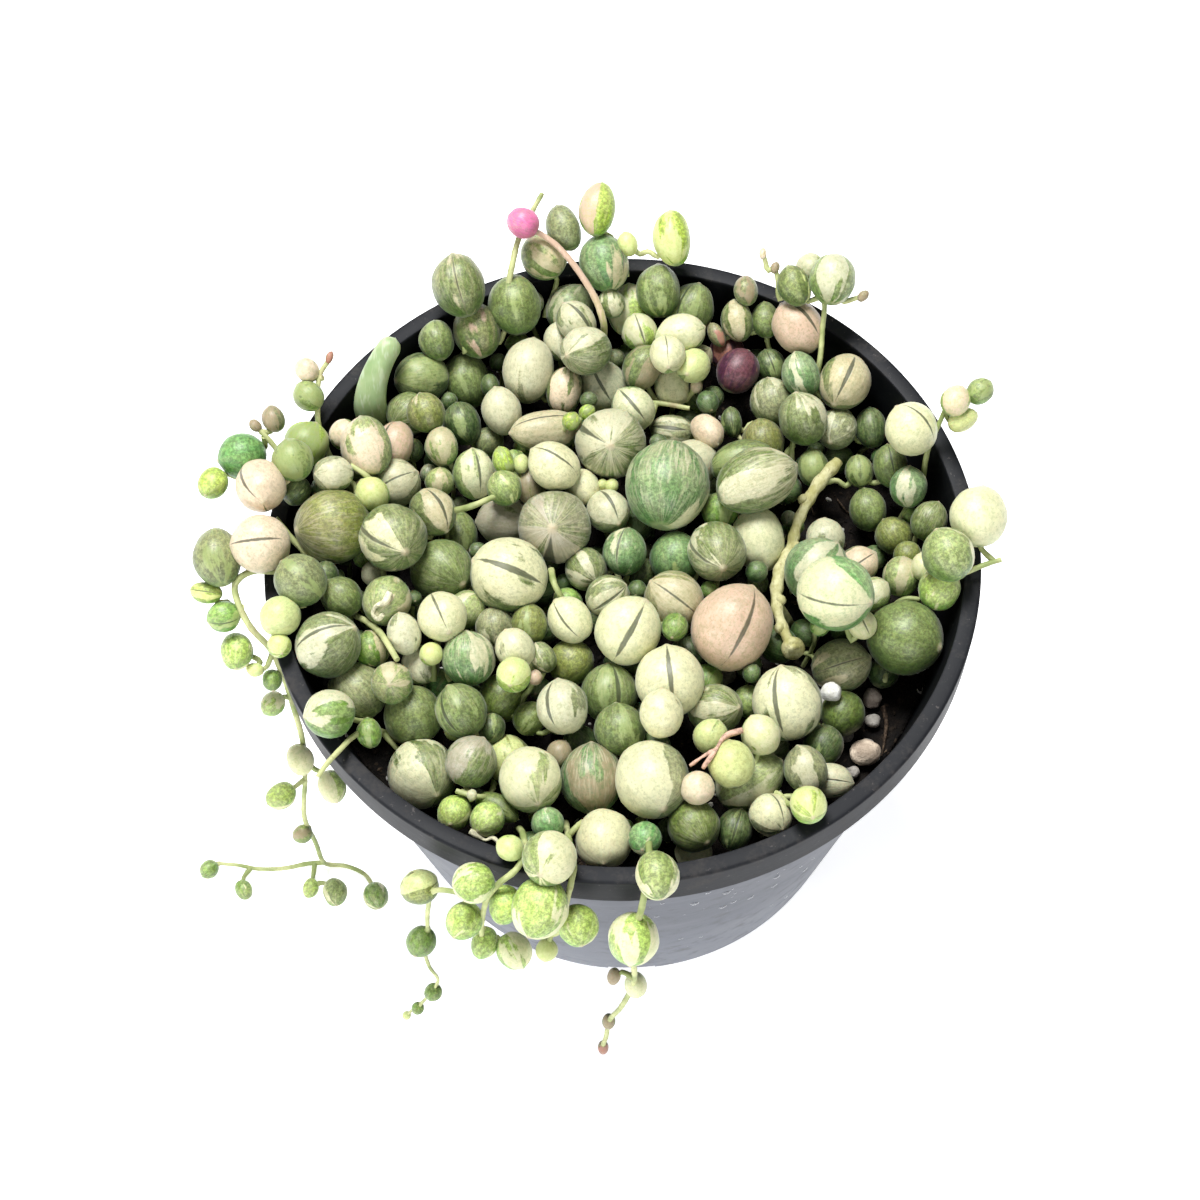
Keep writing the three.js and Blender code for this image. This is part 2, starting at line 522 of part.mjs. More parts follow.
// Flower stalk as seen, and its closed bud
const STALK = [
  [-2, 39.4, -3.4], [-2, 43, 1.4], [-3, 47, 3.4], [-5, 51.5, 5.2], [-7.2, 55.4, 6.8], [-9.7, 58.8, 8],
  [-12.2, 61, 8.8],
];
const STALK_ROOT = [-1, 41.5];
const STALK_RADIUS = 0.75;
const BUD = [-14.7, 62.8, 9.4, 4.5, 4.9, 160, 25, "p"];

// Bare green shoot over the back rim
const GREEN_SHOOT = [
  [-16.3, 46.6, 0.8], [-17, 50.4, 4.6], [-16.4, 55, 7], [-15.4, 60, 8.2], [-13.4, 65, 9], [-11.6, 69, 9.6],
];

// Long pale leaf standing against the wall
const LEAF = [[-37.6, 25.4, -7], [-38.4, 29, -1.4], [-38, 33, 1], [-36.6, 37.4, 3], [-34.8, 41, 4.4]];
const LEAF_WIDTH = 4.2;
const LEAF_ROWS = 10;
const LEAF_SIDES = 6;
const LEAF_ROOT = [-37.5, 26];

// Old bare stem, cut across at its near end
const CUT_STEM = [
  [33.2, 16.2, -3], [30.2, 12.6, -3.2], [28, 9, -3.4], [26.2, 5, -3.8], [25.2, 1.4, -4.6], [23.2, -3, -3.8],
  [22.5, -8, -3.6], [23.3, -12.5, -3.8], [24.6, -15.8, -3.4],
];
const CUT_RADIUS = 0.9;
const CUT_SIDES = 5;
const CUT_END_RADIUS = 1.7;
const CUT_ROOT = [25, -7];
const CUT_END_LENGTH = 2.2;
const CUT_KNOBS = [[2, 150], [4, 340], [6, 30], [7, 160]];
const KNOB_WIDTH = 1.7;

// Stones lying on the soil: true x, true y, width, depth, height
const STONES = [
  ["stone_beige", 34.6, -28.6, 4.8, 4.2, 3.6], ["stone_grey", 32.2, -25.4, 2.2, 2.2, 1.8],
  ["stone_front", 36.4, -19.6, 3, 3.4, 2.2], ["perlite_white", 28.6, -20, 3.6, 3.8, 3.2],
  ["stone_middle", 14.6, -15.4, 4, 3, 2.4],
];

// Seeded random numbers, the same on every run
function randomSource(seed) {
  let state = seed;
  return () => {
    state = (state * 16807) % 2147483647;
    return state / 2147483647;
  };
}

function seen(x, y, up) {
  const z = POT_HEIGHT + up;
  const reach = (z - EYE.z) / (READING_PLANE - EYE.z);
  return new THREE.Vector3(x * reach, EYE.y + (y - EYE.y) * reach, z);
}

function towards(turn, rise) {
  const a = THREE.MathUtils.degToRad(turn);
  const b = THREE.MathUtils.degToRad(rise);
  return new THREE.Vector3(Math.cos(a) * Math.cos(b), Math.sin(a) * Math.cos(b), Math.sin(b));
}

function mouthRadiusAt(z) {
  const slope = (MOUTH_RADIUS - (BASE_RADIUS - WALL)) / (POT_HEIGHT - FLOOR_THICK);
  return MOUTH_RADIUS - slope * (POT_HEIGHT - z);
}

function solid(geometry) {
  const bare = new THREE.BufferGeometry();
  bare.setAttribute("position", geometry.getAttribute("position"));
  if (geometry.index) bare.setIndex(geometry.index);
  const joined = mergeVertices(bare, 1e-4);
  const mesh = new Mesh({
    numProp: 3,
    vertProperties: new Float32Array(joined.attributes.position.array),
    triVerts: new Uint32Array(joined.index.array),
  });
  mesh.merge();
  return new Manifold(mesh);
}

function toNode(body, name, color, roughness = 0.5) {
  const mesh = body.getMesh();
  const geometry = new THREE.BufferGeometry();
  geometry.setAttribute("position", new THREE.BufferAttribute(new Float32Array(mesh.vertProperties), 3));
  geometry.setIndex(new THREE.BufferAttribute(new Uint32Array(mesh.triVerts), 1));
  geometry.computeVertexNormals();
  const node = new THREE.Mesh(geometry, new THREE.MeshStandardMaterial({ color, roughness }));
  node.name = name;
  return node;
}

// Sides round a pearl and the latitudes of its corners
function pearlFacets(width) {
  if (width > LARGE_WIDTH) return [7, [-50, -8, 38]];
  if (width > MIDDLE_WIDTH) return [6, [-32, 30]];
  if (width > SMALL_WIDTH) return [5, [-32, 30]];
  return [4, [4]];
}

// One pearl: a faceted berry with a small point at its tip
function pearlSolid(pearl) {
  const { width, length } = pearl;
  const [sides, bands] = pearlFacets(width);
  const profile = [new THREE.Vector2(0, -length / 2)];
  for (const band of bands) {
    const a = THREE.MathUtils.degToRad(band);
    profile.push(new THREE.Vector2(Math.cos(a) * width / 2, Math.sin(a) * length / 2));
  }
  profile.push(new THREE.Vector2(0, length * TIP_REACH));
  const berry = new THREE.LatheGeometry(profile, sides);
  berry.applyQuaternion(new THREE.Quaternion().setFromUnitVectors(new THREE.Vector3(0, 1, 0), pearl.tip));
  berry.translate(pearl.at.x, pearl.at.y, pearl.at.z);
  return solid(berry);
}

function rodBetween(from, to, radius, sides) {
  const rod = new THREE.CylinderGeometry(radius, radius, from.distanceTo(to), sides);
  const aim = to.clone().sub(from).normalize();
  rod.applyQuaternion(new THREE.Quaternion().setFromUnitVectors(new THREE.Vector3(0, 1, 0), aim));
  const middle = from.clone().add(to).multiplyScalar(0.5);
  return rod.translate(middle.x, middle.y, middle.z);
}

function linkSolid(from, to, radius) {
  return solid(rodBetween(from, to, radius, STEM_SIDES));
}

// A stem that passes through its points
function stemSolid(points, radius, sides = STEM_SIDES) {
  const outline = new THREE.Shape();
  for (let i = 0; i < sides; i += 1) {
    const a = (2 * Math.PI * i) / sides;
    if (i === 0) outline.moveTo(radius, 0);
    else outline.lineTo(Math.cos(a) * radius, Math.sin(a) * radius);
  }
  const path = pathThrough(points);
  const steps = stepsAlong(path);
  return solid(new THREE.ExtrudeGeometry(outline, { steps, extrudePath: path, bevelEnabled: false }));
}

function pathThrough(points) {
  return new THREE.CatmullRomCurve3(points, false, "centripetal");
}

function stepsAlong(path) {
  return Math.max(2, path.points.length - 1, Math.round(path.getLength() / STEM_STEP));
}

// The pearls of every bunch in one list, each with its place, size and owner
function listPearls() {
  const pearls = [];
  const add = (row, owner) => {
    const [x, y, up, width, length, turn, rise, look] = row;
    pearls.push({
      at: seen(x, y, up), home: seen(x, y, up), width, length, tip: towards(turn, rise), look, owner,
    });
  };
  for (const bunch of BUNCHES) {
    for (const row of bunch.pearls) add(row, bunch.name);
  }
  for (const row of PURPLE) add(row, "purple_pearls");
  add(BUD, "flower");
  return pearls;
}

// Points along the stems that were placed by hand, which pearls keep clear of
function listStems() {
  const stems = [];
  const add = (owner, root, seenPoints, radius, tied = false) => {
    const points = seenPoints.map(([x, y, up]) => seen(x, y, up));
    if (root) {
      const ground = POT_HEIGHT - SOIL_DEPTH;
      points.unshift(new THREE.Vector3(root[0], root[1], ground + FOOT_HEIGHT));
      points.unshift(new THREE.Vector3(root[0], root[1], ground - ROOT_DEPTH));
    }
    stems.push({ owner, root, points, radius, tied });
  };
  for (const bunch of BUNCHES) {
    if (bunch.stem) add(bunch.name, bunch.root, bunch.stem, STEM_RADIUS);
    if (bunch.spur) add(bunch.name, null, bunch.spur, SPUR_RADIUS, true);
  }
  add("flower", STALK_ROOT, STALK, STALK_RADIUS);
  add("strand_back_left_high", null, GREEN_SHOOT, STEM_RADIUS, true);
  add("long_leaf", LEAF_ROOT, LEAF, LEAF_WIDTH / 2);
  add("cut_stem", CUT_ROOT, [CUT_STEM[6]], CUT_RADIUS);
  add("cut_stem", null, CUT_STEM, CUT_RADIUS);
  return stems;
}

// A pearl taken as three balls along its own axis, for keeping apart what would touch
function ballsOf(pearl) {
  const half = pearl.length / 2;
  const end = Math.min(pearl.width ** 2 / (4 * half), pearl.width / 2);
  return [
    [pearl.at, pearl.width / 2],
    [pearl.at.clone().addScaledVector(pearl.tip, half * TIP_BALL - end), end],
    [pearl.at.clone().addScaledVector(pearl.tip, end - half), end],
  ];
}

// Points one millimetre or less apart along the straight pieces of a stem
function pointsAlong(points) {
  const path = pathThrough(points);
  const corners = path.getSpacedPoints(stepsAlong(path));
  const places = [corners[0]];
  for (let i = 0; i + 1 < corners.length; i += 1) {
    const pieces = Math.ceil(corners[i].distanceTo(corners[i + 1]));
    for (let k = 1; k <= pieces; k += 1) places.push(corners[i].clone().lerp(corners[i + 1], k / pieces));
  }
  return places;
}

// Push that takes a ball clear of the pot's wall, the soil and the floor
function pushFromPot(at, radius) {
  const push = new THREE.Vector3();
  const out = Math.hypot(at.x, at.y);
  const half = (POT_RADIUS - MOUTH_RADIUS) / 2;
  const inset = WALL / 2;
  const wall = [
    [MOUTH_RADIUS + half, POT_HEIGHT - half, MOUTH_RADIUS + half, POT_HEIGHT - RIM_BAND + half, half],
    [MOUTH_RADIUS + inset, POT_HEIGHT - inset, mouthRadiusAt(0) + inset, 0, inset + 0.1],
  ];
  for (const [r0, z0, r1, z1, thick] of wall) {
    const along = ((out - r0) * (r1 - r0) + (at.z - z0) * (z1 - z0)) / ((r1 - r0) ** 2 + (z1 - z0) ** 2);
    const t = THREE.MathUtils.clamp(along, 0, 1);
    const dr = out - (r0 + t * (r1 - r0));
    const dz = at.z - (z0 + t * (z1 - z0));
    const distance = Math.hypot(dr, dz);
    const short = radius + thick + GAP - distance;
    if (short > 0) {
      const outward = (dr / distance) * short;
      push.add(new THREE.Vector3((at.x / out) * outward, (at.y / out) * outward, (dz / distance) * short));
    }
  }
  const ground = POT_HEIGHT - SOIL_DEPTH + SOIL_BUMP + GAP;
  if (out < MOUTH_RADIUS && at.z > ground - 6) push.z += Math.max(0, ground + radius - at.z);
  push.z += Math.max(0, radius + 0.1 - at.z);
  return push;
}

// Eases the pearls apart until none would cross another, each staying near its own line of sight
function easeApart(pearls, stems) {
  const bars = [];
  for (const stem of stems) {
    for (const point of pointsAlong(stem.points)) bars.push([point, stem.radius, stem.owner]);
  }
  for (let round = 0; round < EASE_ROUNDS; round += 1) {
    const balls = pearls.map(ballsOf);
    const pushes = pearls.map(() => new THREE.Vector3());
    for (let i = 0; i < pearls.length; i += 1) {
      for (let j = i + 1; j < pearls.length; j += 1) {
        const near = (pearls[i].length + pearls[j].length) * NEAR;
        if (pearls[i].at.distanceToSquared(pearls[j].at) > near * near) continue;
        const room = pearls[i].owner === pearls[j].owner ? -NEST : GAP;
        const push = separation(balls[i], balls[j], room);
        pushes[i].addScaledVector(push, 0.5);
        pushes[j].addScaledVector(push, -0.5);
      }
      for (const [point, radius, owner] of bars) {
        if (owner === pearls[i].owner) continue;
        const near = pearls[i].length * NEAR + radius + GAP;
        if (pearls[i].at.distanceToSquared(point) > near * near) continue;
        pushes[i].addScaledVector(separation(balls[i], [[point, radius]], GAP), 0.5);
      }
      for (const [at, radius] of balls[i]) pushes[i].add(pushFromPot(at, radius));
    }
    pearls.forEach((pearl, i) => {
      pearl.at.addScaledVector(pushes[i], EASE_STEP);
      if (round >= HELD_ROUNDS) return;
      const back = pearl.home.clone().sub(pearl.at);
      const sight = pearl.home.clone().sub(EYE).normalize();
      const along = back.dot(sight);
      pearl.at.addScaledVector(sight, along * PULL_ALONG_SIGHT);
      pearl.at.addScaledVector(back.addScaledVector(sight, -along), PULL_ACROSS_SIGHT);
    });
  }
}

// The push on the first set of balls that parts it from the second by the room asked for
function separation(first, second, room) {
  const push = new THREE.Vector3();
  let worst = 0;
  for (const [a, ra] of first) {
    for (const [b, rb] of second) {
      const apart = a.distanceTo(b);
      const short = ra + rb + room - apart;
      if (short > worst) {
        worst = short;
        push.copy(a).sub(b).multiplyScalar(short / Math.max(apart, 1e-6));
      }
    }
  }
  return push;
}

// Everything that a new stem has to pass: pearls as balls, stems as points along them
function listObstacles(pearls, stems) {
  const obstacles = [];
  for (const pearl of pearls) {
    for (const [point, radius] of ballsOf(pearl)) obstacles.push({ point, radius, owner: pearl.owner });
  }
  for (const stem of stems) {
    for (const point of pointsAlong(stem.points)) {
      obstacles.push({ point, radius: stem.radius, owner: stem.owner });
    }
  }
  for (const [name, x, y, width, depth, height] of STONES) {
    const point = new THREE.Vector3(x, y, POT_HEIGHT - SOIL_DEPTH + SOIL_BUMP + height / 2);
    obstacles.push({ point, radius: Math.max(width, depth) / 2, owner: name });
  }
  return obstacles;
}

function isClear(from, to, radius, owner, obstacles) {
  const line = new THREE.Line3(from, to);
  const nearest = new THREE.Vector3();
  return obstacles.every((thing) => {
    if (thing.owner === owner) return true;
    line.closestPointToPoint(thing.point, true, nearest);
    return nearest.distanceTo(thing.point) > thing.radius + radius + GAP;
  });
}

// The straight way between two points, or one bent once round what stands between, or nothing
function findWay(from, to, owner, obstacles) {
  if (isClear(from, to, LINK_RADIUS, owner, obstacles)) return [from, to];
  const middle = from.clone().add(to).multiplyScalar(0.5);
  const aim = to.clone().sub(from).normalize();
  const side = new THREE.Vector3(-aim.y, aim.x, 0.01).normalize();
  for (const reach of DETOURS) {
    for (let turn = 0; turn < WAYS_ROUND; turn += 1) {
      const angle = (turn * 2 * Math.PI) / WAYS_ROUND;
      const offset = side.clone().applyAxisAngle(aim, angle).multiplyScalar(reach);
      const bend = middle.clone().add(offset);
      if (pushFromPot(bend, LINK_RADIUS).length() > 0) continue;
      if (!isClear(from, bend, LINK_RADIUS, owner, obstacles)) continue;
      if (isClear(bend, to, LINK_RADIUS, owner, obstacles)) return [from, bend, to];
    }
  }
  return null;
}

// A place in the soil from which a plain stem reaches one of the bunch's pearls
function findRoot(owner, members, roots, obstacles) {
  const ground = POT_HEIGHT - SOIL_DEPTH;
  let best = null;
  for (const pearl of members) {
    for (let ring = 0; ring < ROOT_RINGS; ring += 1) {
      for (let turn = 0; turn < WAYS_ROUND; turn += 1) {
        const a = (turn * 2 * Math.PI) / WAYS_ROUND;
        const foot = new THREE.Vector3(ring * Math.cos(a), ring * Math.sin(a), 0).add(pearl.at);
        foot.setZ(ground + FOOT_HEIGHT);
        const length = foot.distanceTo(pearl.at);
        if (best && length >= best.length) continue;
        if (Math.hypot(foot.x, foot.y) > GROWN_RADIUS) continue;
        if (roots.some((root) => Math.hypot(root.x - foot.x, root.y - foot.y) < ROOT_SPACING)) continue;
        if (isClear(pearl.at, foot, STEM_RADIUS, owner, obstacles)) best = { length, foot, pearl };
      }
    }
  }
  return best;
}

// Whether a pearl already sinks well into the one that sits at a point
function areFused(pearl, point, members) {
  const other = members.find((each) => each.at === point);
  return other !== undefined && pearlSolid(pearl).intersect(pearlSolid(other)).volume() > FUSED_VOLUME;
}

// Joins every pearl of a bunch to its stem or to a neighbour, the nearest first
function linkBunch(owner, members, anchors, obstacles) {
  const links = [];
  const waiting = new Set(members);
  const reached = [...anchors];
  while (waiting.size > 0) {
    const choices = [];
    for (const pearl of waiting) {
      for (const point of reached) choices.push([pearl.at.distanceTo(point), pearl, point]);
    }
    choices.sort((a, b) => a[0] - b[0]);
    let found = null;
    for (const [apart, pearl, point] of choices.slice(0, LINK_CHOICES)) {
      const sunk = apart < (pearl.width / 2) * SUNK_IN;
      const way = sunk ? [] : findWay(pearl.at, point, owner, obstacles);
      if (way) {
        found = { pearl, point, way };
        break;
      }
    }
    if (!found) return { links, missed: [...waiting] };
    if (!areFused(found.pearl, found.point, members)) links.push(found.way);
    addWay(found.way, LINK_RADIUS, owner, obstacles);
    reached.push(found.pearl.at);
    waiting.delete(found.pearl);
  }
  return { links, missed: [] };
}

function addWay(way, radius, owner, obstacles) {
  for (let i = 0; i + 1 < way.length; i += 1) {
    const steps = Math.ceil(way[i].distanceTo(way[i + 1]));
    for (let k = 0; k <= steps; k += 1) {
      obstacles.push({ point: way[i].clone().lerp(way[i + 1], k / steps), radius, owner });
    }
  }
}

// Small dark pearls low in the heap, at random where there is room, each joined to a neighbour
function growFillers(pearls, obstacles) {
  const random = randomSource(FILLER_SEED);
  const links = [];
  const ground = POT_HEIGHT - SOIL_DEPTH + SOIL_BUMP;
  for (let tries = 0, grown = 0; tries < FILLER_TRIES && grown < FILLER_COUNT; tries += 1) {
    const a = random() * 2 * Math.PI;
    const out = Math.sqrt(random()) * GROWN_RADIUS;
    const width = 4 + 1.6 * random();
    const up = width / 2 + GAP + 0.1 + 4 * random();
    const tip = towards(random() * 360, random() * 30);
    const at = new THREE.Vector3(Math.cos(a) * out, Math.sin(a) * out, ground + up);
    if (BARE.some(([x, y, radius]) => Math.hypot(at.x - x, at.y - y) < radius)) continue;
    const filler = { at, width, length: width * 1.08, tip, look: "d" };
    const balls = ballsOf(filler);
    if (balls.some(([point, radius]) => pushFromPot(point, radius).length() > 0)) continue;
    const crowded = balls.some(([point, radius]) =>
      obstacles.some((thing) => thing.point.distanceTo(point) < thing.radius + radius + GAP));
    if (crowded) continue;
    const near = pearls
      .filter((pearl) => pearl.rooted && pearl.at.distanceTo(at) < FILLER_REACH + pearl.width / 2)
      .sort((p, q) => p.at.distanceTo(at) - q.at.distanceTo(at));
    for (const pearl of near) {
      const way = findWay(at, pearl.at, pearl.owner, obstacles);
      if (!way || way.length > 2) continue;
      filler.owner = pearl.owner;
      filler.rooted = true;
      pearls.push(filler);
      for (const [point, radius] of balls) obstacles.push({ point, radius, owner: pearl.owner });
      addWay(way, LINK_RADIUS, pearl.owner, obstacles);
      links.push({ owner: pearl.owner, way });
      grown += 1;
      break;
    }
  }
  return links;
}

// Pot: a tapered wall with a rim band, a flat underside and drain slots round its foot
function makePot() {
  const shoulder = POT_HEIGHT - RIM_BAND;
  const profile = [
    [0, 0], [BASE_RADIUS - EDGE_ROUNDING, 0], [BASE_RADIUS, EDGE_ROUNDING],
    [mouthRadiusAt(shoulder) + WALL, shoulder], [POT_RADIUS, shoulder],
    [POT_RADIUS, POT_HEIGHT - EDGE_ROUNDING], [POT_RADIUS - EDGE_ROUNDING, POT_HEIGHT],
    [MOUTH_RADIUS, POT_HEIGHT], [mouthRadiusAt(FLOOR_THICK), FLOOR_THICK], [0, FLOOR_THICK],
  ];
  let body = turned(profile, POT_SIDES);
  for (let i = 0; i < FEET; i += 1) {
    const slot = new THREE.BoxGeometry(FOOT_SLOT_DEPTH * 2, FOOT_SLOT_WIDTH, FOOT_SLOT_HEIGHT * 2);
    slot.translate(BASE_RADIUS, 0, 0);
    slot.rotateZ(((i + 0.5) * 2 * Math.PI) / FEET);
    body = body.subtract(solid(slot));
  }
  return body;
}

function turned(profile, sides) {
  const points = profile.map(([r, z]) => new THREE.Vector2(r, z));
  return solid(new THREE.LatheGeometry(points, sides).rotateX(Math.PI / 2));
}

function soilRelief(x, y) {
  const coarse = Math.sin(x * 0.31 + 1.3) * Math.cos(y * 0.27 - 0.4);
  const fine = Math.sin(x * 0.83 - y * 0.47) * Math.sin(y * 0.71 + x * 0.19);
  return SOIL_BUMP * (0.55 * coarse + 0.45 * fine);
}

// Soil: fills the pot, with an uneven top and a plain hole for each stem
function makeSoil(roots) {
  const ground = POT_HEIGHT - SOIL_DEPTH;
  const bottom = FLOOR_THICK + GAP;
  const edge = mouthRadiusAt(ground) - GAP;
  const profile = [[0, bottom], [mouthRadiusAt(bottom) - GAP, bottom], [edge, ground]];
  for (let ring = SOIL_RINGS - 1; ring >= 0; ring -= 1) profile.push([(edge * ring) / SOIL_RINGS, ground]);
  const points = profile.map(([r, z]) => new THREE.Vector2(r, z));
  const heap = new THREE.LatheGeometry(points, SOIL_SIDES).rotateX(Math.PI / 2);
  const place = heap.getAttribute("position");
  for (let i = 0; i < place.count; i += 1) {
    const [x, y, z] = [place.getX(i), place.getY(i), place.getZ(i)];
    const onTop = z > ground - GAP && Math.hypot(x, y) < edge - SOIL_EDGE_FLAT;
    if (onTop) place.setZ(i, z + soilRelief(x, y));
  }
  let body = solid(heap);
  for (const root of roots) {
    const radius = root.radius + HOLE_ROOM;
    const hole = new THREE.CylinderGeometry(radius, radius, HOLE_DEPTH * 2, HOLE_SIDES);
    hole.rotateX(Math.PI / 2);
    hole.translate(root.x, root.y, ground);
    body = body.subtract(solid(hole));
  }
  return body;
}

// Stone: a rough lump seated just over the soil
function makeStone(x, y, width, depth, height, seed) {
  const random = randomSource(seed);
  const bare = new THREE.IcosahedronGeometry(0.5, width > STONE_FINE_WIDTH ? 1 : 0);
  const lump = mergeVertices(bare.deleteAttribute("normal").deleteAttribute("uv"));
  const place = lump.getAttribute("position");
  for (let i = 0; i < place.count; i += 1) {
    const swell = 1 - STONE_ROUGHNESS * random();
    place.setXYZ(i, place.getX(i) * swell, place.getY(i) * swell, place.getZ(i) * swell);
  }
  lump.scale(width, depth, height);
  lump.translate(x, y, POT_HEIGHT - SOIL_DEPTH + SOIL_BUMP + height / 2);
  return solid(lump);
}

// Long leaf: a round spindle bent along its route
function makeLeaf(points) {
  const path = pathThrough(points);
  const frames = path.computeFrenetFrames(LEAF_ROWS);
  const swell = LEAF_WIDTH / 2 - STEM_RADIUS;
  const radiusAt = (t) => {
    const full = STEM_RADIUS + swell * THREE.MathUtils.smoothstep(t, 0.3, 0.72);
    return full * Math.sqrt(1 - THREE.MathUtils.smoothstep(t, 0.86, 1));
  };
  const profile = [new THREE.Vector2(0, 0)];
  for (let row = 0; row <= LEAF_ROWS; row += 1) {
    profile.push(new THREE.Vector2(radiusAt(row / LEAF_ROWS), row));
  }
  const spindle = new THREE.LatheGeometry(profile, LEAF_SIDES);
  const place = spindle.getAttribute("position");
  for (let i = 0; i < place.count; i += 1) {
    const row = Math.round(place.getY(i));
    const at = path.getPointAt(row / LEAF_ROWS);
    at.addScaledVector(frames.binormals[row], place.getX(i));
    at.addScaledVector(frames.normals[row], place.getZ(i));
    place.setXYZ(i, at.x, at.y, at.z);
  }
  return solid(spindle);
}

// Old stem: bare, knobbly, and cut square at its near end
function makeCutStem(stems) {
  const bodies = stems.map((stem) => stemSolid(stem.points, stem.radius, CUT_SIDES));
  const route = stems[1].points;
  const end = route[route.length - 1];
  const before = route[route.length - 2];
  const aim = end.clone().sub(before).normalize();
  const faceAim = EYE.clone().sub(end).normalize().add(aim).normalize();
  const start = end.clone().addScaledVector(faceAim, -CUT_END_LENGTH);
  bodies.push(solid(rodBetween(start, end, CUT_END_RADIUS, 2 * CUT_SIDES)));
  for (const [index, turn] of CUT_KNOBS) {
    const tip = towards(turn, 30);
    const at = route[index].clone().addScaledVector(tip, CUT_RADIUS);
    bodies.push(pearlSolid({ at, width: KNOB_WIDTH, length: KNOB_WIDTH, tip }));
  }
  return Manifold.union(bodies);
}

// The way from a side stem's start to the nearest of some points, or none where it lies on one
function tie(stem, points) {
  const [start] = stem.points;
  const nearest = points.reduce((a, b) => (a.distanceTo(start) < b.distanceTo(start) ? a : b));
  return nearest.distanceTo(start) > TIE_SHORTEST ? [start, nearest] : [];
}

function wayThrough(points, radius) {
  const bodies = [];
  for (let i = 0; i + 1 < points.length; i += 1) bodies.push(linkSolid(points[i], points[i + 1], radius));
  return bodies;
}

// The whole plant, worked out once: pearls eased apart, rooted and joined
function growPlant() {
  const pearls = listPearls();
  const stems = listStems();
  easeApart(pearls, stems);
  const obstacles = listObstacles(pearls, stems);
  const rooted = stems.filter((stem) => stem.root);
  const roots = rooted.map(({ root, radius }) => ({ x: root[0], y: root[1], radius }));
  const owners = [...new Set(pearls.map((pearl) => pearl.owner))];
  const ways = [];
  const anchors = new Map();
  for (const owner of owners) {
    const own = stems.filter((stem) => stem.owner === owner);
    const main = own.filter((stem) => !stem.tied).flatMap((stem) => pointsAlong(stem.points));
    anchors.set(owner, main);
    if (own.some((stem) => stem.root)) {
      for (const spur of own.filter((stem) => stem.tied)) {
        ways.push({ owner, way: tie(spur, main) });
        main.push(...pointsAlong(spur.points));
      }
      continue;
    }
    const members = pearls.filter((pearl) => pearl.owner === owner);
    const { foot, pearl } = findRoot(owner, members, roots, obstacles);
    const deep = foot.clone().setZ(POT_HEIGHT - SOIL_DEPTH - ROOT_DEPTH);
    roots.push({ x: foot.x, y: foot.y, radius: LINK_RADIUS });
    ways.push({ owner, way: [pearl.at, foot, deep] });
    addWay([pearl.at, foot], STEM_RADIUS, owner, obstacles);
    anchors.get(owner).push(pearl.at);
  }
  for (const owner of owners) {
    const reached = anchors.get(owner);
    const members = pearls.filter((pearl) => pearl.owner === owner);
    const waiting = members.filter((pearl) => !reached.includes(pearl.at));
    const { links, missed } = linkBunch(owner, waiting, reached, obstacles);
    for (const way of links) ways.push({ owner, way });
    const rooted = stems.some((stem) => stem.owner === owner && stem.root);
    const shoots = stems.filter((stem) => stem.owner === owner && stem.tied && !rooted);
    for (const shoot of shoots) ways.push({ owner, way: tie(shoot, members.map((pearl) => pearl.at)) });
    for (const pearl of members) pearl.rooted = !missed.includes(pearl);
  }
  ways.push(...growFillers(pearls, obstacles));
  return { pearls, stems, ways, roots, owners };
}

const LOOK_COLORS = {
  g: 0x8b9c79, t: 0x6d8a66, c: 0xcfd3ae, p: 0xd3bfa6, y: 0xc4cf7a, b: 0x8fae5a, d: 0x3f5c35, k: 0xa28f68,
  v: 0x4d2b3c,
};

// A bunch takes the look that most of its listed pearls have
function bunchColor(members) {
  const counts = {};
  for (const { look } of members) counts[look] = (counts[look] ?? 0) + 1;
  const [look] = Object.entries(counts).sort((a, b) => b[1] - a[1])[0];
  return LOOK_COLORS[look];
}

function makeBunch(owner, plant) {
  const bodies = [];
  for (const stem of plant.stems) {
    if (stem.owner === owner) bodies.push(stemSolid(stem.points, stem.radius));
  }
  for (const link of plant.ways) {
    if (link.owner === owner) bodies.push(...wayThrough(link.way, LINK_RADIUS));
  }
  for (const pearl of plant.pearls) {
    if (pearl.owner === owner && pearl.rooted) bodies.push(pearlSolid(pearl));
  }
  return Manifold.union(bodies);
}

const plant = growPlant();
const group = new THREE.Group();
group.add(toNode(makePot(), "pot", 0x15171a, 0.45));
group.add(toNode(makeSoil(plant.roots), "soil", 0x1f1712, 0.95));
STONES.forEach(([name, ...size], i) => {
  const color = name.startsWith("perlite") ? 0xe8e6df : 0xa59886;
  group.add(toNode(makeStone(...size, STONE_SEED * (i + 1)), name, color, 0.9));
});
for (const owner of plant.owners) {
  const listed = plant.pearls.filter((pearl) => pearl.owner === owner && pearl.home);
  group.add(toNode(makeBunch(owner, plant), owner, bunchColor(listed)));
}
const leafStem = plant.stems.find((stem) => stem.owner === "long_leaf");
group.add(toNode(makeLeaf(leafStem.points), "long_leaf", 0xb9c78f));
group.add(toNode(makeCutStem(plant.stems.filter((stem) => stem.owner === "cut_stem")), "cut_stem", 0xb3b07a));

export default group;
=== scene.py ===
"""Variegated string-of-pearls plant heaped in a small black nursery pot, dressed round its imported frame."""
import math

import bmesh
import bpy
import numpy as np
from mathutils import Matrix, Vector, noise


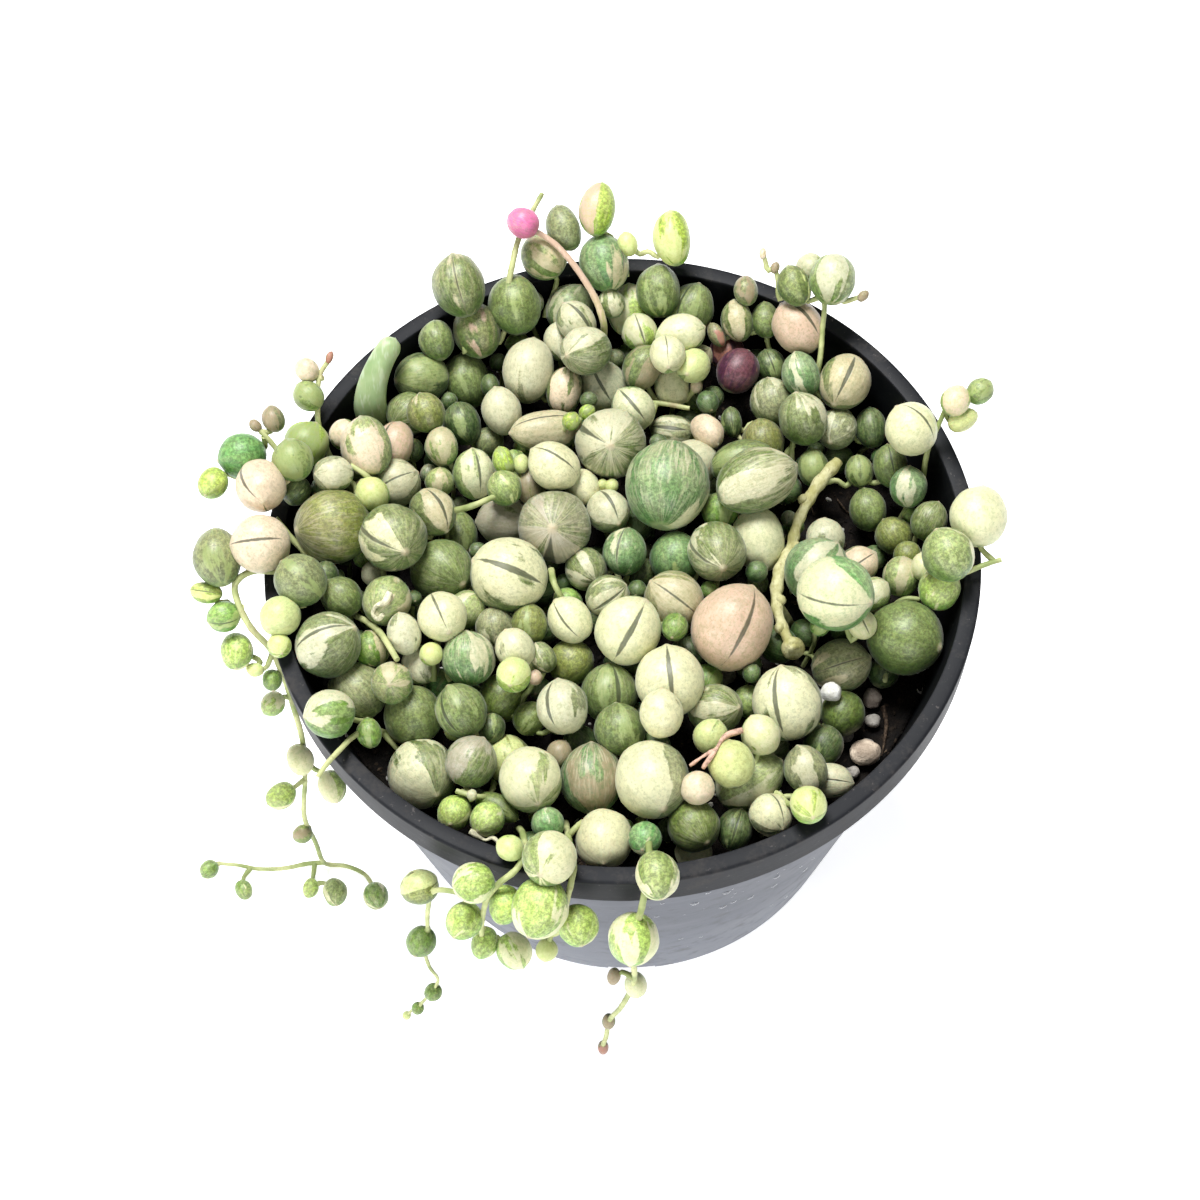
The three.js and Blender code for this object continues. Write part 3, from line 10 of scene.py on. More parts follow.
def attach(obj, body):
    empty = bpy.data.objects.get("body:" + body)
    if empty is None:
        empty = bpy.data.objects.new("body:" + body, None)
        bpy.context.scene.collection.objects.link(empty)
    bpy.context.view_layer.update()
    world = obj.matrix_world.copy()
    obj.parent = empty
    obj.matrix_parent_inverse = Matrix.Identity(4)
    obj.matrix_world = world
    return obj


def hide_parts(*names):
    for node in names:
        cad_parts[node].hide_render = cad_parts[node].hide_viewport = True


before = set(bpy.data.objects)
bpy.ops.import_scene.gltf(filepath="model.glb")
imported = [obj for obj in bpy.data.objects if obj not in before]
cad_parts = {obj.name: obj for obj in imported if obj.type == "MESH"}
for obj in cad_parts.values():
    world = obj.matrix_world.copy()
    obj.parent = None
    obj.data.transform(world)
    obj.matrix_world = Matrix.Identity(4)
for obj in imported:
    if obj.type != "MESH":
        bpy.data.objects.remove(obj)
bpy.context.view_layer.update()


# ---------------------------------------------------------------------------------------------
# Pot. A thin-walled round nursery pot, moulded in black polypropylene, with a turned rim band and
# small drain slots round its foot. The outside is scuffed and dusty from the potting bench.
# ---------------------------------------------------------------------------------------------
MM = 0.001
POT_HEIGHT = 78
POT_RADIUS = 52.5
BASE_RADIUS = 38.5
MOUTH_RADIUS = 50
RIM_BAND = 7
WALL = 1.4
FLOOR_THICK = 2.4
EDGE_ROUNDING = 0.7
LIP_ROUNDING = 0.35
POT_SEGMENTS = 180
FEET = 6
FOOT_SLOT = (4.5, 8, 1.8)
SHARP_EDGE = 40
# The inner face of the wall in metres, as the finish sees it: slope, and radius at the underside
INNER_FACE = (0.1707, 0.0368)


class Wires:
    """Adds nodes to one tree. Each call gives the new node's output, ready for the next call."""

    def __init__(self, tree):
        self.tree = tree

    def add(self, kind, inputs=None, out=0, **settings):
        node = self.tree.nodes.new(kind)
        for name, value in settings.items():
            setattr(node, name, value)
        for name, value in (inputs or {}).items():
            self.put(node.inputs[name], value)
        return node.outputs[out]

    def put(self, socket, value):
        if isinstance(value, bpy.types.NodeSocket):
            self.tree.links.new(value, socket)
        else:
            socket.default_value = value

    def geo(self, kind, **inputs):
        """One of the Geometry Nodes, with its inputs by name."""
        return self.add("GeometryNode" + kind, {name.replace("_", " "): inputs[name] for name in inputs})

    def math(self, operation, a, b=0.0, c=0.0):
        return self.add("ShaderNodeMath", {0: a, 1: b, 2: c}, operation=operation)

    def times(self, a, b):
        return self.math("MULTIPLY", a, b)

    def minus(self, a, b):
        return self.math("SUBTRACT", a, b)

    def line(self, value, slope, start):
        """The value times a slope, plus a start."""
        return self.math("MULTIPLY_ADD", value, slope, start)

    def nudged(self, value, grain, amount):
        """The value, pushed up and down by a noise."""
        return self.line(self.minus(grain, 0.5), amount, value)

    def step(self, value, low, high):
        """Smoothly 0 under low and 1 over high."""
        inputs = {"Value": value, "From Min": low, "From Max": high}
        return self.add("ShaderNodeMapRange", inputs, interpolation_type="SMOOTHSTEP")

    def vector(self, operation, a, b=(0, 0, 0)):
        out = 1 if operation == "LENGTH" else 0
        return self.add("ShaderNodeVectorMath", {0: a, 1: b}, out=out, operation=operation)

    def scale(self, vector, by):
        return self.add("ShaderNodeVectorMath", {0: vector, "Scale": by}, operation="SCALE")

    def scaled_on(self, vector, by, start):
        """The vector scaled, and then added to a start."""
        return self.vector("ADD", self.scale(vector, by), start)

    def xyz(self, x=0, y=0, z=0):
        return self.add("ShaderNodeCombineXYZ", {0: x, 1: y, 2: z})

    def split(self, vector):
        return self.add("ShaderNodeSeparateXYZ", {0: vector}).node.outputs

    def mix(self, share, a, b):
        def rgba(value):
            return (*value, 1) if isinstance(value, tuple) else value
        inputs = {0: share, 6: rgba(a), 7: rgba(b)}
        return self.add("ShaderNodeMix", inputs, out=2, data_type="RGBA", clamp_factor=True)

    def over(self, color, where, amount, other):
        """Another colour laid over this one, by an amount, where a mask says."""
        return self.mix(self.times(where, amount), color, other)

    def noise(self, at, scale, detail, roughness, out=0):
        inputs = {"Vector": at, "Scale": scale, "Detail": detail, "Roughness": roughness}
        return self.add("ShaderNodeTexNoise", inputs, out=out)


class Finish(Wires):
    """A new material and its wires, with plain values on the shader's own sockets."""

    def __init__(self, name, **sockets):
        self.material = bpy.data.materials.new(name)
        self.material.use_nodes = True
        super().__init__(self.material.node_tree)
        self.sockets = self.tree.nodes["Principled BSDF"].inputs
        for socket, value in sockets.items():
            self.sockets[socket.replace("_", " ")].default_value = value
        self.place = self.add("ShaderNodeTexCoord", out=3)

    def grain(self, scale, detail, roughness, stretch=None):
        """Noise that stays in place on the piece, stretched or not."""
        at = self.vector("MULTIPLY", self.place, stretch) if stretch else self.place
        return self.noise(at, scale, detail, roughness)

    def dress(self, color, rough, rise, strength, depth):
        """Wires colour, roughness and relief to the shader, and gives the finished material."""
        relief = {"Height": rise, "Strength": strength, "Distance": depth}
        self.put(self.sockets["Base Color"], color)
        self.put(self.sockets["Roughness"], rough)
        self.put(self.sockets["Normal"], self.add("ShaderNodeBump", relief))
        return self.material


def add_piece(name, data):
    piece = bpy.data.objects.new(name, data)
    bpy.context.scene.collection.objects.link(piece)
    return piece


def smooth_piece(mesh, material):
    mesh.polygons.foreach_set("use_smooth", [True] * len(mesh.polygons))
    mesh.materials.append(material)
    return add_piece(mesh.name, mesh)


def mesh_piece(name, vertices, faces, material):
    """A smooth mesh in metres from points in millimetres."""
    mesh = bpy.data.meshes.new(name)
    mesh.from_pydata((np.asarray(vertices, float) * MM).tolist(), [], faces)
    mesh.validate()
    return smooth_piece(mesh, material)


def settle(piece):
    """Turns a piece's modifiers into its plain mesh."""
    bpy.context.view_layer.update()
    depsgraph = bpy.context.evaluated_depsgraph_get()
    solved = piece.evaluated_get(depsgraph)
    mesh = bpy.data.meshes.new_from_object(solved, preserve_all_data_layers=True, depsgraph=depsgraph)
    piece.modifiers.clear()
    piece.data = mesh
    mesh.name = piece.name


def fit(piece, replaced=None):
    """Holds a piece to the part's one body, and hides the node that it replaces."""
    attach(piece, "root")
    if replaced:
        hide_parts(replaced)


def turned(profile, segments):
    """Points and faces of a closed profile of (radius, height) turned round the pot's axis."""
    vertices, rows = [], []
    for radius, z in profile:
        if radius == 0:
            rows.append([len(vertices)] * segments)
            vertices.append((0, 0, z))
            continue
        rows.append(list(range(len(vertices), len(vertices) + segments)))
        for k in range(segments):
            a = 2 * math.pi * k / segments
            vertices.append((radius * math.cos(a), radius * math.sin(a), z))
    faces = []
    for low, high in zip(rows[:-1], rows[1:]):
        for k in range(segments):
            n = (k + 1) % segments
            corners = [low[k], low[n], high[n], high[k]]
            faces.append([c for i, c in enumerate(corners) if c != corners[i - 1]])
    return vertices, faces


def mouth_radius(z):
    slope = (MOUTH_RADIUS - (BASE_RADIUS - WALL)) / (POT_HEIGHT - FLOOR_THICK)
    return MOUTH_RADIUS - slope * (POT_HEIGHT - z)


def black_plastic():
    w = Finish("pot_black_plastic")
    x, y, z = w.split(w.place)
    cloud = w.grain(60, 4, 0.6)
    turned_marks = w.grain(1, 3, 0.6, (9, 9, 420))
    grains = w.grain(900, 4, 0.75)
    low = w.step(z, 0.045, 0.0)
    dust = w.times(w.step(w.grain(240, 5, 0.7), 0.5, 0.72), w.line(low, 0.4, 0.25))
    black = w.mix(cloud, (0.01, 0.011, 0.013), (0.02, 0.021, 0.025))
    # Outside, below the rim band, the wall is drawn grey-blue and lighter towards the foot: a painted
    # reflection of the white floor, with dust and turned marks over it. The lip is the plastic's own black;
    # the inside is painted shade
    thick = w.minus(w.vector("LENGTH", w.xyz(x, y)), w.line(z, *INNER_FACE))
    outside = w.times(w.step(thick, 0.0008, 0.0013), w.step(z, 0.0714, 0.0708))
    # Painted reflection of the white floor: grey-blue, lightest near the foot
    painted_floor_reflection = w.mix(low, w.mix(cloud, (0.045, 0.051, 0.068), (0.065, 0.073, 0.096)), (0.13, 0.142, 0.175))
    painted_floor_reflection = w.over(painted_floor_reflection, w.step(turned_marks, 0.45, 0.7), 0.4, (0.1, 0.108, 0.13))
    color = w.over(w.mix(outside, black, painted_floor_reflection), dust, 0.7, (0.15, 0.135, 0.12))
    color = w.over(color, w.step(grains, 0.62, 0.7), 0.3, (0.2, 0.18, 0.17))
    # Painted shade: inside the pot, below the lip, the wall is drawn darker than the plastic's own black
    inside = w.times(w.step(thick, 0.0013, 0.0008), w.step(z, 0.0778, 0.0775))
    color = w.over(color, inside, 0.85, (0.004, 0.0045, 0.005))
    w.put(w.sockets["Specular IOR Level"], w.line(outside, 0.4, 0.08))
    rough = w.line(dust, 0.4, w.line(cloud, 0.2, 0.36))
    return w.dress(color, rough, w.line(turned_marks, 0.5, w.times(grains, 0.35)), 0.3, 0.0002)


def make_pot():
    shoulder = POT_HEIGHT - RIM_BAND
    outer = mouth_radius(shoulder) + WALL
    lip = [(POT_RADIUS - LIP_ROUNDING * (1 - math.cos(a)), POT_HEIGHT - LIP_ROUNDING * (1 - math.sin(a)))
           for a in np.radians([0, 30, 60, 90])]
    profile = [
        (0, 0), (BASE_RADIUS - 2, 0), (BASE_RADIUS - EDGE_ROUNDING, 0), (BASE_RADIUS - 0.15, 0.2),
        (BASE_RADIUS, EDGE_ROUNDING), (BASE_RADIUS + 0.45, 3), (outer - 0.3, shoulder - 2),
        (outer, shoulder - 0.1), (outer + 0.15, shoulder), (POT_RADIUS - 0.3, shoulder),
        (POT_RADIUS, shoulder + 0.3), (POT_RADIUS, POT_HEIGHT - 2), (POT_RADIUS, POT_HEIGHT - 0.6), *lip,
        (POT_RADIUS - 0.6, POT_HEIGHT), (MOUTH_RADIUS + 0.3, POT_HEIGHT),
        (MOUTH_RADIUS + 0.08, POT_HEIGHT - 0.08), (MOUTH_RADIUS, POT_HEIGHT - 0.3),
        (mouth_radius(POT_HEIGHT - 2), POT_HEIGHT - 2), (mouth_radius(FLOOR_THICK + 2), FLOOR_THICK + 2),
        (mouth_radius(FLOOR_THICK), FLOOR_THICK), (mouth_radius(FLOOR_THICK) - 2, FLOOR_THICK),
        (0, FLOOR_THICK),
    ]
    pot = mesh_piece("nursery_pot", *turned(profile, POT_SEGMENTS), black_plastic())
    deep, wide, high = FOOT_SLOT
    vertices, faces = [], []
    for k in range(FEET):
        turn = Matrix.Rotation((k + 0.5) * 2 * math.pi / FEET, 3, "Z")
        start = len(vertices)
        for x in (-deep, deep):
            for y in (-wide / 2, wide / 2):
                for z in (-high, high):
                    vertices.append(turn @ Vector((BASE_RADIUS + x, y, z)))
        sides = [(0, 1, 3, 2), (4, 6, 7, 5), (0, 4, 5, 1), (2, 3, 7, 6), (0, 2, 6, 4), (1, 5, 7, 3)]
        faces += [[start + i for i in side] for side in sides]
    slots = mesh_piece("slot_cutters", vertices, faces, pot.data.materials[0])
    cut = pot.modifiers.new("slots", "BOOLEAN")
    cut.operation = "DIFFERENCE"
    cut.solver = "EXACT"
    cut.object = slots
    settle(pot)
    bpy.data.objects.remove(slots)
    pot.data.shade_smooth()
    pot.modifiers.new("edges", "EDGE_SPLIT").split_angle = math.radians(SHARP_EDGE)
    settle(pot)
    return pot


fit(make_pot(), "pot")


# ---------------------------------------------------------------------------------------------
# Soil. Dark peat mix that fills the pot to 14 mm under its rim: a heap of crumbs, bark and root
# fibres, pressed down by hand, with grains of white perlite and a few dead roots lying on top.
# ---------------------------------------------------------------------------------------------
SOIL_DEPTH = 14
SOIL_TOP = POT_HEIGHT - SOIL_DEPTH
SOIL_BUMP = 0.45
SOIL_GAP = 0.35
SOIL_RINGS = 110
SOIL_SEGMENTS = 200
# Lumps and grit of its top: how close together, and how high
LUMPS = (0.16, 0.5)
GRIT = (1.3, 0.28)


def peat():
    w = Finish("peat", Specular_IOR_Level=0.25)
    coarse = w.grain(420, 5, 0.65)
    fine = w.grain(1900, 3, 0.7)
    color = w.mix(w.step(coarse, 0.4, 0.75), (0.004, 0.003, 0.0025), (0.018, 0.012, 0.008))
    color = w.mix(w.step(fine, 0.66, 0.78), color, (0.07, 0.05, 0.033))
    return w.dress(color, w.line(fine, 0.25, 0.72), w.math("ADD", coarse, fine), 0.9, 0.0006)


def soil_height(x, y):
    lumps = noise.fractal(Vector((x * LUMPS[0], y * LUMPS[0], 4.2)), 0.9, 2.1, 4)
    grit = noise.noise(Vector((x * GRIT[0], y * GRIT[0], 1.7)))
    return SOIL_TOP + LUMPS[1] * lumps + GRIT[1] * grit


def make_soil():
    bottom = FLOOR_THICK + SOIL_GAP
    edge = mouth_radius(SOIL_TOP) - 0.2
    profile = [(0, bottom), (mouth_radius(bottom) - SOIL_GAP, bottom), (edge, SOIL_TOP - 0.6)]
    profile += [(edge * (1 - (k / SOIL_RINGS)), SOIL_TOP) for k in range(1, SOIL_RINGS)] + [(0, SOIL_TOP)]
    vertices, faces = turned(profile, SOIL_SEGMENTS)
    top = SOIL_TOP - 0.1
    vertices = [(x, y, soil_height(x, y) if z > top else z) for x, y, z in vertices]
    return mesh_piece("peat_soil", vertices, faces, peat())


soil = make_soil()
fit(soil, "soil")


# ---------------------------------------------------------------------------------------------
# Stones. Natural stones and grains that lie on the soil: a beige and a grey one at the right, one
# at the front right, one in the middle, five small ones by the right rim, and two of perlite.
# ---------------------------------------------------------------------------------------------
# A stone: its name, x, y, width, depth and height, its light colour and its dark one
STONES = [
    ("stone_beige", 34.6, -28.6, 4.8, 4.2, 3.6, (0.74, 0.62, 0.48), (0.42, 0.33, 0.25)),
    ("stone_grey", 32.2, -25.4, 2.2, 2.2, 1.8, (0.34, 0.32, 0.3), (0.2, 0.19, 0.18)),
    ("stone_front", 36.4, -19.6, 3, 3.4, 2.2, (0.42, 0.36, 0.3), (0.22, 0.18, 0.15)),
    ("perlite_white", 28.6, -20, 3.6, 3.8, 3.2, (0.86, 0.85, 0.8), (0.62, 0.6, 0.54)),
    ("stone_middle", 14.6, -15.4, 4, 3, 2.4, (0.36, 0.33, 0.28), (0.18, 0.16, 0.13)),
]
# A small stone: x, y and width
SMALL_STONES = [
    (32.7, -31.2, 2.2), (35.2, -26.8, 2), (36.2, -23.2, 2.6), (35.6, -28.9, 1.4), (30.6, -32.6, 1.6),
]
STONE_SINK = 0.35
GRIT_SINK = 0.3
LOOSE_PERLITE = (29.6, -22.1, 73.0)
LOOSE_SIZE = (3.3, 2.9, 3.4)


def stone_finish(name, light, dark):
    w = Finish(name, Specular_IOR_Level=0.3)
    cloud = w.grain(700, 4, 0.6)
    grain = w.grain(4200, 2, 0.6)
    color = w.mix(w.step(cloud, 0.35, 0.68), dark, light)
    color = w.mix(w.step(grain, 0.6, 0.75), color, tuple(0.55 * c for c in dark))
    return w.dress(color, w.line(grain, 0.3, 0.6), w.math("ADD", cloud, grain), 0.6, 0.0003)


def lump(name, at, size, material, seed, rings=4):
    """A rough closed stone: a ball swelled by noise."""
    shape = bmesh.new()
    bmesh.ops.create_icosphere(shape, subdivisions=rings, radius=0.5)
    for vertex in shape.verts:
        where = vertex.co * 2.2 + Vector((seed * 3.1, seed * 1.7, 0))
        swell = 0.94 + 0.16 * noise.noise(where) + 0.05 * noise.noise(where * 3.3)
        vertex.co = Vector([at[k] + vertex.co[k] * swell * size[k] for k in range(3)]) * MM
    mesh = bpy.data.meshes.new(name)
    shape.to_mesh(mesh)
    shape.free()
    return smooth_piece(mesh, material)


for order, (name, x, y, width, depth, height, light, dark) in enumerate(STONES):
    at = (x, y, SOIL_TOP + SOIL_BUMP + height / 2 - STONE_SINK)
    rough = stone_finish(name + "_rough", light, dark)
    stone = lump("fine_" + name, at, (width, depth, height), rough, order + 1)
    fit(stone, name)

grit_finish = stone_finish("grit", (0.5, 0.47, 0.42), (0.3, 0.27, 0.24))
for order, (x, y, width) in enumerate(SMALL_STONES):
    at = (x, y, SOIL_TOP + SOIL_BUMP + width * 0.4 - GRIT_SINK)
    size = (width, width * 0.9, width * 0.8)
    fit(lump("small_stone_%d" % (order + 1), at, size, grit_finish, order + 9, 3))
white_grain = stone_finish("loose_grain", (0.9, 0.9, 0.86), (0.7, 0.69, 0.62))
fit(lump("loose_perlite", LOOSE_PERLITE, LOOSE_SIZE, white_grain, 21))


# ---------------------------------------------------------------------------------------------
# Leafy stems. A trailing succulent: thin green stems with round, water-filled leaves like pearls,
# each with a pointed tip and a clear slit down one side, in cream, blush, yellow-green and grey-green.
# Each pearl grows on the line of sight on which it was measured, and all are eased apart.
# ---------------------------------------------------------------------------------------------
ROOM = 0.35
EYE = np.array((0, -156.1, 351.6))
READING_PLANE = 74
FOOT_HEIGHT = 0.8
ROOT_DEPTH = 4
STEM_RADIUS = 0.6
LINK_RADIUS = 0.5
CUT_RADIUS = 0.9
LEAF_WIDTH = 4.2
STALK_RADIUS = 0.75
# Bare places in the heap: x, y and radius
BARE = [(40, -27, 12), (33, 9, 6), (37, -33, 9)]
